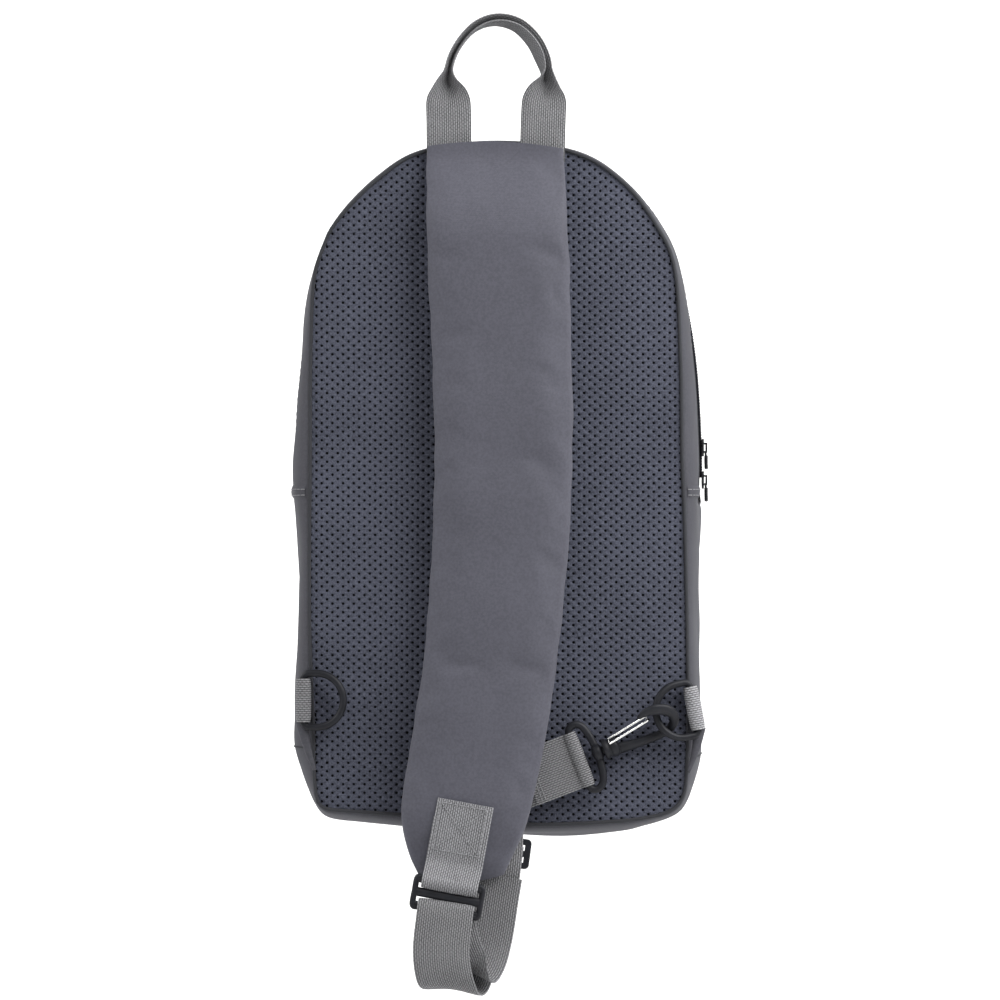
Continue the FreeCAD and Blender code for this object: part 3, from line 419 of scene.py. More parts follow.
# ---- finishes -----------------------------------------------------------------------
class Tree:
    """A material's nodes, with short ways to add and join them."""

    def __init__(self, name: str) -> None:
        """Start a material with an empty Principled shader.

        Args:
            name: The material's name.
        """
        self.material = bpy.data.materials.new(name)
        self.material.use_nodes = True
        self.nodes = self.material.node_tree.nodes
        self.links = self.material.node_tree.links
        self.shader = self.nodes["Principled BSDF"]

    def add(self, kind: str, inputs: dict = None, **settings: object) -> bpy.types.Node:
        """A new node.

        Args:
            kind: Its type's name, without the ShaderNode prefix.
            inputs: Values or sockets for its inputs.
            settings: Values for its properties.

        Returns:
            The node.
        """
        node = self.nodes.new("ShaderNode" + kind)
        for key, value in settings.items():
            setattr(node, key, value)
        for key, value in (inputs or {}).items():
            self.feed(node.inputs[key], value)
        return node

    def feed(self, socket: bpy.types.NodeSocket, value: object) -> None:
        """Link a socket to an input, or set the input's value.

        Args:
            socket: The input.
            value: Another node's socket, or a plain value.
        """
        if isinstance(value, bpy.types.NodeSocket):
            self.links.new(value, socket)
        else:
            socket.default_value = value

    def maths(self, operation: str, a: object, b: object = 0.0, c: object = 0.0) -> bpy.types.NodeSocket:
        """The result of a Math node."""
        return self.add("Math", {0: a, 1: b, 2: c}, operation=operation).outputs[0]

    def blend(self, amount: object, dark: tuple, light: tuple) -> bpy.types.NodeSocket:
        """A colour between two.

        Args:
            amount: How far towards the light one, from 0 to 1.
            dark: The colour at 0.
            light: The colour at 1.

        Returns:
            The colour's socket.
        """
        node = self.add("Mix", {0: amount}, data_type="RGBA")
        self.feed(node.inputs[6], dark)
        self.feed(node.inputs[7], light)
        return node.outputs[2]

    def noise(self, where: object, scale: float, detail: float = 2.0) -> bpy.types.NodeSocket:
        """Smooth noise."""
        inputs = {"Vector": where, "Scale": scale, "Detail": detail}
        return self.add("TexNoise", inputs).outputs[0]

    def span(self, value: object, low: float, high: float, to_low: float = 0.0,
             to_high: float = 1.0) -> bpy.types.NodeSocket:
        """A value mapped from one range to another."""
        inputs = {0: value, 1: low, 2: high, 3: to_low, 4: to_high}
        return self.add("MapRange", inputs).outputs[0]

    def bump(self, height: object, distance: float, strength: float = 1.0,
             below: object = None) -> bpy.types.NodeSocket:
        """A bumped normal.

        Args:
            height: The height's socket.
            distance: What a height of 1 stands for, in metres.
            strength: How strongly it tells.
            below: A normal that it is laid over.

        Returns:
            The normal's socket.
        """
        inputs = {"Height": height, "Distance": distance, "Strength": strength}
        if below is not None:
            inputs["Normal"] = below
        return self.add("Bump", inputs).outputs[0]


def rgba(colour: tuple, share: float = 1.0) -> tuple:
    """A colour made lighter or darker, as a four-part value."""
    return tuple(min(c * share, 1.0) for c in colour) + (1.0,)


class Finish:
    """A finish whose material is made once and shared."""

    made: dict = {}

    def material(self) -> bpy.types.Material:
        """The finish's material, made on first use.

        Returns:
            The material, shared by every piece that takes it.
        """
        if self not in Finish.made:
            Finish.made[self] = self.build()
        return Finish.made[self]

    def build(self) -> bpy.types.Material:
        """Make the material."""
        raise NotImplementedError


@dataclass(frozen=True)
class SmoothFabric(Finish):
    """Soft stretch fabric with a very fine weave."""

    name: str = "smooth_fabric"
    colour: tuple = (0.060, 0.060, 0.070)
    weave: float = 0.42
    roughness: float = 0.72
    sheen: float = 0.03

    def build(self) -> bpy.types.Material:
        """Fine twill, a soft mottle and a little sheen.

        Returns:
            The material.
        """
        t = Tree(self.name)
        place = t.add("TexCoord").outputs["Object"]
        cloud = t.noise(place, 22.0, 3.0)
        fibre = t.noise(place, 900.0, 3.0)
        part = t.add("SeparateXYZ", {0: place})
        pitch = 2 * math.pi / (self.weave * MM)
        rising = t.maths("ADD", part.outputs["Z"], part.outputs["X"])
        twill = t.maths("SINE", t.maths("MULTIPLY", rising, pitch))
        falling = t.maths("SUBTRACT", part.outputs["Z"], part.outputs["Y"])
        cross = t.maths("SINE", t.maths("MULTIPLY", falling, pitch * 0.62))
        thread = t.maths("ADD", t.maths("MULTIPLY", twill, 0.5), t.maths("MULTIPLY", cross, 0.35))
        shade = t.maths("ADD", t.span(cloud, 0.3, 0.7, 0.0, 0.35), t.span(fibre, 0.35, 0.65, 0.0, 0.55))
        shade = t.maths("ADD", shade, t.maths("MULTIPLY", thread, 0.06))
        dark, light = rgba(self.colour, 0.84), rgba(self.colour, 1.17)
        t.feed(t.shader.inputs["Base Color"], t.blend(shade, dark, light))
        t.feed(t.shader.inputs["Roughness"],
               t.span(fibre, 0.2, 0.8, self.roughness - 0.06, self.roughness + 0.08))
        t.shader.inputs["Sheen Weight"].default_value = self.sheen
        t.shader.inputs["Sheen Roughness"].default_value = 0.45
        t.shader.inputs["Specular IOR Level"].default_value = 0.18
        height = t.maths("ADD", thread, t.maths("MULTIPLY", fibre, 1.2))
        t.feed(t.shader.inputs["Normal"], t.bump(height, 0.00004, 0.35))
        return t.material


@dataclass(frozen=True)
class SpacerMesh(Finish):
    """Knitted spacer mesh between its holes."""

    name: str = "spacer_mesh"
    colour: tuple = (0.070, 0.075, 0.101)
    knit: float = 0.95

    def build(self) -> bpy.types.Material:
        """Slanting knitted loops, painted darker where they sink as shade and lighter on their crests, with
        small bright fibres.

        Returns:
            The material.
        """
        t = Tree(self.name)
        place = t.add("TexCoord").outputs["Object"]
        part = t.add("SeparateXYZ", {0: place})
        pitch = 2 * math.pi / (self.knit * MM)
        course = t.maths("MULTIPLY", part.outputs["Z"], pitch)
        wale = t.maths("MULTIPLY", part.outputs["X"], pitch * 1.15)
        slant = t.maths("SINE", t.maths("ADD", course, t.maths("MULTIPLY", wale, 0.8)))
        counter = t.maths("SINE", t.maths("SUBTRACT", t.maths("MULTIPLY", course, 0.9), wale))
        loops = t.maths("MULTIPLY", slant, counter)
        fibre = t.noise(place, 1500.0, 3.0)
        cloud = t.noise(place, 26.0, 2.0)
        # The knit loops set both bump and colour: painted shade in the knit's hollows and painted light on
        # its crests.
        shade = t.maths("ADD", t.span(loops, -1.0, 1.0, 0.0, 0.50), t.span(fibre, 0.35, 0.70, 0.0, 0.40))
        shade = t.maths("ADD", shade, t.span(cloud, 0.3, 0.7, 0.0, 0.12))
        dark, light = rgba(self.colour, 0.26), rgba(self.colour, 2.15)
        t.feed(t.shader.inputs["Base Color"], t.blend(shade, dark, light))
        t.shader.inputs["Roughness"].default_value = 0.82
        t.shader.inputs["Specular IOR Level"].default_value = 0.2
        height = t.maths("ADD", loops, t.maths("MULTIPLY", fibre, 1.5))
        t.feed(t.shader.inputs["Normal"], t.bump(height, 0.00018, 0.9))
        return t.material


@dataclass(frozen=True)
class Webbing(Finish):
    """Flat polyester webbing: ribs along it, short floats in staggered rows across it."""

    name: str = "webbing"
    colour: tuple = (0.154, 0.154, 0.160)
    rib: float = 0.98
    pick: float = 0.78
    # How dark the weave's low parts are painted, as shade.
    painted_groove_shade: float = 0.90

    def build(self) -> bpy.types.Material:
        """Ribs and picks follow the cloth's own place, so they bend with it; their low parts are painted
        darker, as shade.

        Returns:
            The material.
        """
        t = Tree(self.name)
        uv = t.add("UVMap", uv_map="place").outputs[0]
        part = t.add("SeparateXYZ", {0: uv})
        across = t.maths("DIVIDE", t.maths("MULTIPLY", part.outputs["X"], 10.0), self.rib)
        along = t.maths("DIVIDE", t.maths("MULTIPLY", part.outputs["Y"], 10.0), self.pick)
        column = t.maths("FLOOR", across)
        stagger = t.maths("MULTIPLY", t.maths("MODULO", t.maths("ABSOLUTE", column), 2.0), math.pi)
        rib = t.maths("ABSOLUTE", t.maths("SINE", t.maths("MULTIPLY", across, math.pi)))
        pick = t.maths("SINE", t.maths("ADD", t.maths("MULTIPLY", along, math.pi), stagger))
        float_up = t.span(pick, -0.80, 0.25)
        body = t.maths("POWER", rib, 0.80)
        height = t.maths("MULTIPLY", body, t.maths("ADD", 0.64, t.maths("MULTIPLY", float_up, 0.36)))
        fibre = t.noise(t.add("TexCoord").outputs["Object"], 1400.0, 2.0)
        cloud = t.noise(t.add("TexCoord").outputs["Object"], 60.0, 2.0)
        # Colour follows the weave's height: the grooves between ribs and floats are painted near-black as
        # shade; fibre and cloud vary at random.
        shade = t.maths("ADD", t.maths("MULTIPLY", height, 1.1), t.span(fibre, 0.3, 0.7, -0.14, 0.12))
        shade = t.maths("ADD", shade, t.span(cloud, 0.3, 0.7, -0.05, 0.07))
        dark = rgba(self.colour, 1.0 - self.painted_groove_shade)
        t.feed(t.shader.inputs["Base Color"], t.blend(shade, dark, rgba(self.colour, 1.45)))
        t.feed(t.shader.inputs["Roughness"], t.span(height, 0.0, 1.0, 0.80, 0.55))
        t.shader.inputs["Specular IOR Level"].default_value = 0.3
        t.feed(t.shader.inputs["Normal"], t.bump(height, 0.00030, 1.0))
        return t.material


@dataclass(frozen=True)
class PlainWeave(Finish):
    """A plain woven cloth, for lining, binding and tape."""

    name: str = "lining"
    colour: tuple = (0.11, 0.11, 0.12)
    thread: float = 0.55
    roughness: float = 0.8

    def build(self) -> bpy.types.Material:
        """A checker of over and under threads.

        Returns:
            The material.
        """
        t = Tree(self.name)
        place = t.add("TexCoord").outputs["Object"]
        part = t.add("SeparateXYZ", {0: place})
        pitch = math.pi / (self.thread * MM)
        flat = t.maths("ADD", part.outputs["X"], part.outputs["Y"])
        weft = t.maths("SINE", t.maths("MULTIPLY", flat, pitch))
        warp = t.maths("SINE", t.maths("MULTIPLY", part.outputs["Z"], pitch))
        cross = t.maths("MULTIPLY", weft, warp)
        cloud = t.noise(place, 35.0, 3.0)
        shade = t.maths("ADD", t.span(cross, -1.0, 1.0, 0.1, 0.6), t.span(cloud, 0.3, 0.7, 0.0, 0.4))
        t.feed(t.shader.inputs["Base Color"], t.blend(shade, rgba(self.colour, 0.7), rgba(self.colour, 1.2)))
        t.shader.inputs["Roughness"].default_value = self.roughness
        t.feed(t.shader.inputs["Normal"], t.bump(cross, 0.00006, 0.5))
        return t.material


@dataclass(frozen=True)
class Thread(Finish):
    """Twisted sewing thread."""

    name: str = "thread"
    colour: tuple = (0.20, 0.20, 0.21)

    def build(self) -> bpy.types.Material:
        """Fine slanting plies.

        Returns:
            The material.
        """
        t = Tree(self.name)
        place = t.add("TexCoord").outputs["Object"]
        fibre = t.noise(place, 2600.0, 2.0)
        dark, light = rgba(self.colour, 0.75), rgba(self.colour, 1.25)
        t.feed(t.shader.inputs["Base Color"], t.blend(fibre, dark, light))
        t.shader.inputs["Roughness"].default_value = 0.6
        t.feed(t.shader.inputs["Normal"], t.bump(fibre, 0.00005, 0.5))
        return t.material


@dataclass(frozen=True)
class Moulded(Finish):
    """Moulded acetal: a fine satin grain, a touch paler where it is rubbed."""

    name: str = "black_plastic"
    colour: tuple = (0.010, 0.0105, 0.0135)
    roughness: float = 0.46
    coat: float = 0.0
    gloss: float = 0.22

    def build(self) -> bpy.types.Material:
        """Satin grain in roughness and bump, a paler scuff in colour.

        Returns:
            The material.
        """
        t = Tree(self.name)
        place = t.add("TexCoord").outputs["Object"]
        grain = t.noise(place, 2200.0, 2.0)
        scuff = t.noise(place, 120.0, 4.0)
        t.feed(t.shader.inputs["Base Color"],
               t.blend(t.span(scuff, 0.45, 0.75), rgba(self.colour), rgba(self.colour, 1.6)))
        t.feed(t.shader.inputs["Roughness"],
               t.span(grain, 0.2, 0.8, self.roughness - 0.07, self.roughness + 0.10))
        t.shader.inputs["Coat Weight"].default_value = self.coat
        t.shader.inputs["Specular IOR Level"].default_value = self.gloss
        t.feed(t.shader.inputs["Normal"], t.bump(grain, 0.00003, 0.25))
        return t.material


@dataclass(frozen=True)
class SpringWire(Finish):
    """Polished spring wire with drawing marks."""

    name: str = "bright_wire"
    colour: tuple = (0.86, 0.86, 0.84)

    def build(self) -> bpy.types.Material:
        """Bright metal, faintly streaked.

        Returns:
            The material.
        """
        t = Tree(self.name)
        place = t.add("TexCoord").outputs["Object"]
        streak = t.noise(place, 900.0, 2.0)
        t.feed(t.shader.inputs["Base Color"], t.blend(streak, rgba(self.colour, 0.9), rgba(self.colour, 1.1)))
        t.shader.inputs["Metallic"].default_value = 1.0
        t.feed(t.shader.inputs["Roughness"], t.span(streak, 0.2, 0.8, 0.16, 0.28))
        return t.material


@dataclass(frozen=True)
class Studio(Finish):
    """The pale paper of a plain studio."""

    name: str = "studio_paper"
    colour: tuple = (0.9, 0.9, 0.9)

    def build(self) -> bpy.types.Material:
        """Barely mottled paper.

        Returns:
            The material.
        """
        t = Tree(self.name)
        cloud = t.noise(t.add("TexCoord").outputs["Object"], 4.0, 2.0)
        dark, light = rgba(self.colour, 0.99), rgba(self.colour, 1.02)
        t.feed(t.shader.inputs["Base Color"], t.blend(cloud, dark, light))
        t.shader.inputs["Roughness"].default_value = 0.95
        return t.material


FABRIC = SmoothFabric()
STRAP_FABRIC = SmoothFabric("strap_fabric", (0.078, 0.078, 0.096), 0.40, 0.68, 0.05)
MESH = SpacerMesh()
WEB = Webbing()
WEB_PALE = Webbing("webbing_pale", (0.198, 0.198, 0.208))
# A lighter copy of the webbing, for the right tab only: painted light on the side the light comes from.
WEB_PAINTED_LIT = Webbing("webbing_painted_lit", (0.25, 0.25, 0.26))
THREAD = Thread()
LINING = PlainWeave()
BINDING = PlainWeave("binding", (0.022, 0.023, 0.028), 0.4, 0.85)
TAPE = PlainWeave("zip_tape", (0.035, 0.036, 0.042), 0.5, 0.85)
FOAM = PlainWeave("dark_foam", (0.006, 0.0065, 0.009), 0.8, 0.95)
PLASTIC = Moulded()
COIL_PLASTIC = Moulded("zip_coil", (0.016, 0.016, 0.020), 0.75, gloss=0.05)
LACQUER = Moulded("black_lacquer", (0.012, 0.012, 0.014), 0.28, 0.3)
WIRE = SpringWire()


class Side(Enum):
    """Left or right of the wearing side."""

    LEFT = -1
    RIGHT = 1


# ---- the bag's shape ----------------------------------------------------------------
@dataclass
class BagShape:
    """The outlines and depths that every shell piece shares, in millimetres."""

    hem_z: float = -206.5
    hem_high: float = 6.0
    seam_y: float = 2.4
    full_y_left: float = 22.0
    full_y_right: float = 44.0
    groove: float = 1.5
    groove_half: float = 6.5
    zip_y: float = 35.0
    tape_reach: float = 4.0
    turn_y: float = 70.0
    front_y: float = 87.5
    wall: float = 1.5
    mesh_crown: float = 1.6
    front_crown: float = 5.0
    sag_broad: float = 0.9
    sag_fine: float = 0.45
    crest_broad: float = 64
    crest_fine: float = 31
    full: tuple = (
        (0, -49.4), (34, -53.6), (57, -67.0), (73, -86), (83.6, -112.6), (89.6, -148), (92.2, -190),
        (91.4, -222), (90.2, -262), (91.6, -306), (91.7, -322), (90.2, -331), (87.6, -339.5),
        (84.8, -345.4), (81.8, -349.6), (76.5, -352.9), (65.4, -356.8), (54, -359.4), (23, -360.7),
        (-10, -359.4), (-42, -357.0),
        (-62, -354.2), (-72.6, -352.8), (-77.6, -351.0), (-80.8, -347.6), (-84.2, -341.4), (-88.2, -331.4),
        (-91.2, -320), (-91.2, -306), (-89.6, -262), (-89.6, -230), (-91.6, -200), (-90.6, -170),
        (-88.2, -146), (-84, -113), (-73.4, -86.2), (-54.7, -65.9), (-34, -53.6))
    seam: tuple = (
        (0, -51.0), (34, -55.2), (55.8, -68.4), (70.8, -87.6), (79.2, -108), (81.8, -148), (82.6, -190),
        (83.8, -222), (84.8, -270), (85.0, -306), (84.6, -326), (83.8, -339), (81.4, -345.6),
        (76.8, -349.6), (70, -351.8), (54.3, -354), (21, -355.6), (-10, -354.2), (-42.7, -351.3),
        (-66, -349.6), (-75.0, -348.9),
        (-79.0, -347.4), (-81.0, -344.0), (-82.0, -336), (-82.4, -326), (-82.6, -312), (-84.3, -270),
        (-84.6, -230), (-84.3, -190), (-84.0, -150), (-82.6, -114), (-78.4, -98), (-71.8, -85.4),
        (-53.8, -67.0), (-34, -55.0))

    def radii(self, outline: tuple, angles: Points) -> Points:
        """How far an outline lies from the middle of the hem, in each direction.

        Args:
            outline: Its points.
            angles: Directions, from +X towards +Z, in radians.

        Returns:
            The distances.
        """
        curve = spline([(x, z) for x, z in outline], 1600, closed=True)
        dx, dz = curve[:, 0], curve[:, 1] - self.hem_z
        turn = np.arctan2(dz, dx) % (2 * math.pi)
        order = np.argsort(turn)
        turn, far = turn[order], np.hypot(dx, dz)[order]
        turn = np.concatenate([turn[-3:] - 2 * math.pi, turn, turn[:3] + 2 * math.pi])
        far = np.concatenate([far[-3:], far, far[:3]])
        return np.interp(angles % (2 * math.pi), turn, far)

    def spread(self, low: float, high: float, count: int) -> Points:
        """Directions between two that are evenly spaced along the full outline.

        Args:
            low: First direction, in radians.
            high: Last direction.
            count: How many.

        Returns:
            The directions.
        """
        dense = np.linspace(low, high, 900)
        far = self.radii(self.full, dense)
        path = np.stack([far * np.cos(dense), far * np.sin(dense)], axis=1)
        run = run_of(path)
        return np.interp(np.linspace(0, run[-1], count), run, dense)

    def depth_share(self, depth: Points, angles: Points) -> Points:
        """How much of the way from the seam's outline to the full one the wall has reached.

        Args:
            depth: Depths, in millimetres.
            angles: Directions round the hem's middle.

        Returns:
            Shares, from 0 to 1.
        """
        rightward = 0.5 + 0.5 * np.tanh(3.0 * np.cos(angles))
        full_y = self.full_y_left + (self.full_y_right - self.full_y_left) * rightward
        back = np.clip((depth - self.seam_y) / (full_y - self.seam_y), 0, 1)
        front = np.clip((self.front_y - depth) / (self.front_y - self.turn_y), 0, 1)
        return np.sqrt(np.clip(1 - (1 - back) ** 2, 0, 1)) * np.sqrt(np.clip(1 - (1 - front) ** 2, 0, 1))

    def wall_points(self, angles: Points, depths: Points, inset: float = 0.0) -> Points:
        """The gusset's surface, for each direction and depth.

        Args:
            angles: Directions round the hem's middle.
            depths: Depths, in millimetres.
            inset: How far inside the outer surface.

        Returns:
            Points, directions by depths by three.
        """
        seam, full = self.radii(self.seam, angles), self.radii(self.full, angles)
        a, d = np.meshgrid(angles, depths, indexing="ij")
        share = self.depth_share(d, a)
        far = seam[:, None] + (full - seam)[:, None] * share
        x, z = far * np.cos(a), self.hem_z + far * np.sin(a)
        soft = smooth_step(d, 8, 24) * smooth_step(-d, -80, -60)
        steady = smooth_step(np.abs(d - self.zip_y), 5, 14) * (a % math.pi > 0) + (np.sin(a) < 0)
        steady = np.clip(steady, 0, 1)
        sag = (self.sag_broad * ripple(x * 1.2 + d, z + 0.4 * d, self.crest_broad, 1.3)
               + self.sag_fine * ripple(z, d * 1.4, self.crest_fine, 2.2))
        dip = smooth_step(-np.abs(d - self.zip_y), -self.groove_half - 2.5, -self.groove_half + 1.5)
        above = smooth_step(z, self.hem_z - 9, self.hem_z - 1)
        proud = self.proud_share(a) * above
        dip = self.groove * (dip * above * (1 - proud) + smooth_step(d, 14, 26) * proud)
        far = far + sag * soft * steady * (0.8 - 0.5 * proud) - dip - inset
        return np.stack([far * np.cos(a), d, self.hem_z + far * np.sin(a)], axis=-1)

    def proud_share(self, angles: Points) -> Points:
        """Where the zip stands proud of its walls: low on the right, not over the arch."""
        return smooth_step(np.cos(angles), 0.66, 0.85)

    def depth_steps(self, low: float, high: float, count: int) -> Points:
        """Depths between two, closer together where the wall curves.

        Args:
            low: First depth.
            high: Last depth.
            count: How many.

        Returns:
            The depths.
        """
        t = np.linspace(0, 1, count)
        if low <= self.seam_y + 0.1:
            t = t ** 1.8
        if high >= self.front_y - 0.1:
            t = 1 - (1 - t) ** 1.6
        return low + (high - low) * t

    def panel_share(self, x: Points, z: Points) -> Points:
        """How near a point of the back panel is to its seam, from 0 in the middle to 1."""
        angle = np.arctan2(z - self.hem_z, x)
        return np.hypot(x, z - self.hem_z) / self.radii(self.seam, angle)

    def panel_depth(self, x: Points, z: Points) -> Points:
        """The back panel's crowned surface.

        Args:
            x: Places across it, in millimetres.
            z: Heights, in millimetres.

        Returns:
            Its depth at each.
        """
        share = np.clip(self.panel_share(x, z), 0, 1.04)
        soft = 0.35 * ripple(x, z, 85, 4.1) * (1 - share ** 4)
        return self.seam_y + 0.5 - self.mesh_crown * (1 - share ** 7) + soft


SHAPE = BagShape()


# ---- back panel ---------------------------------------------------------------------
@dataclass
class BackPanel:
    """The perforated spacer mesh against the back, its foam and the seam round it."""

    column: float = 4.77
    row: float = 1.915
    hole: float = 0.62
    dimple: float = 0.96
    pile: float = 1.3
    foam_thick: float = 7.6
    foam_edge: float = 1.2
    binding: float = 0.8
    field_half: float = 100.0
    field_high: tuple = (-362.0, -48.0)

    def past_seam(self, x: Points, z: Points) -> Points:
        """How far a point lies outside the seam."""
        far = np.hypot(x, z - SHAPE.hem_z)
        return far * (1 - 1 / SHAPE.panel_share(x, z))

    def lattice(self) -> Points:
        """The middles of the holes, in staggered rows, out to just past the seam.

        Returns:
            Their x and z.
        """
        rows = np.arange(*self.field_high, self.row)
        middles = []
        for number, z in enumerate(rows):
            x = np.arange(-self.field_half, self.field_half, self.column) + (number % 2) * self.column / 2
            middles.append(np.stack([x, np.full_like(x, z)], axis=1))
        middles = np.vstack(middles)
        keep = self.past_seam(middles[:, 0], middles[:, 1]) < 0.6
        return middles[keep]

    def mesh(self) -> bpy.types.Object:
        """The mesh: one round, soft-edged hole to each staggered cell.

        Returns:
            The piece.
        """
        middles = self.lattice()
        half_x, half_z = self.column / 2, self.row / 2
        corner = np.array([[1, 0], [1, 1], [0, 1], [-1, 1], [-1, 0], [-1, -1], [0, -1], [1, -1]], float)
        turn = np.arange(8) * math.pi / 4
        round_part = np.stack([np.cos(turn), np.sin(turn)], axis=1)
        rings = [corner * [half_x, half_z], round_part * [self.dimple, self.dimple * 0.84],
                 round_part * self.hole, round_part * self.hole * 0.93]
        sink = [0.0, 0.06, 0.42, self.pile]
        flat = np.stack([middles[:, None, :] + ring[None] for ring in rings], axis=1)
        x, z = flat[..., 0], flat[..., 1]
        far = np.hypot(x, z - SHAPE.hem_z)
        pull = np.minimum(1.0, (far - self.past_seam(x, z) - self.binding) / np.maximum(far, 1e-6))
        x, z = x * pull, SHAPE.hem_z + (z - SHAPE.hem_z) * pull
        depth = SHAPE.panel_depth(x, z) + np.array(sink)[None, :, None]
        points = np.stack([x, depth, z], axis=-1)
        cells = len(middles)
        base = np.arange(cells)[:, None, None] * 32
        ring, spoke = np.meshgrid(np.arange(3), np.arange(8), indexing="ij")
        nxt = (spoke + 1) % 8
        quads = np.stack([base + ring * 8 + spoke, base + ring * 8 + nxt,
                          base + (ring + 1) * 8 + nxt, base + (ring + 1) * 8 + spoke], axis=-1)
        cloth = Cloth()
        cloth.add(points, quads.reshape(-1, 4), points[..., [0, 2]].reshape(-1, 2))
        piece = cloth.make("back_mesh", [MESH], sharp=75, merge=0.02)
        return settle(piece, "bag_body", "mesh_fabric", "back_mesh_panel")

    def foam(self) -> bpy.types.Object:
        """The crowned pad behind the mesh, dark through the holes.

        Returns:
            The piece.
        """
        angles = np.linspace(0, 2 * math.pi, 140, endpoint=False)
        share = np.concatenate([np.linspace(0.02, 0.9, 14), np.linspace(0.93, 0.995, 5)])
        far = SHAPE.radii(SHAPE.seam, angles)[None, :] * share[:, None]
        x, z = far * np.cos(angles), SHAPE.hem_z + far * np.sin(angles)
        near = SHAPE.panel_depth(x, z) + self.pile - 0.05
        edge = (1 - share ** 10)[:, None]
        back = near + self.foam_edge + (self.foam_thick - self.foam_edge) * edge
        cloth = Cloth()
        cloth.grid(np.stack([x, near, z], -1), wrap_columns=True)
        cloth.grid(np.stack([x, back, z], -1), wrap_columns=True, flip=True)
        cloth.grid(np.stack([np.stack([x[-1], near[-1], z[-1]], -1), np.stack([x[-1], back[-1], z[-1]], -1)]),
                   wrap_columns=True)
        for surface in (near, back):
            cloth.fan(np.stack([x[0], surface[0], z[0]], -1), [0, surface[0].mean(), SHAPE.hem_z])
        piece = cloth.make("back_pad", [FOAM], merge=0.02)
        settle(piece, "bag_body", "foam", "back_foam")
        return piece

    def seam_binding(self) -> bpy.types.Object:
        """The narrow dark binding in the groove round the mesh.

        Returns:
            The piece.
        """
        angles = SHAPE.spread(0, 2 * math.pi, 361)[:-1]
        far = SHAPE.radii(SHAPE.seam, angles) - 0.6
        path = np.stack([far * np.cos(angles), np.full_like(far, SHAPE.seam_y - 0.1),
                         SHAPE.hem_z + far * np.sin(angles)], axis=1)
        cloth = Cloth()
        cloth.tube(path, self.binding, sides=8, closed=True)
        piece = cloth.make("seam_binding", [BINDING])
        return settle(piece, "bag_body", "binding_tape", "back_seam_binding")

    def build(self) -> None:
        """Make the back panel's pieces."""
        self.mesh()
        self.foam()
        self.seam_binding()


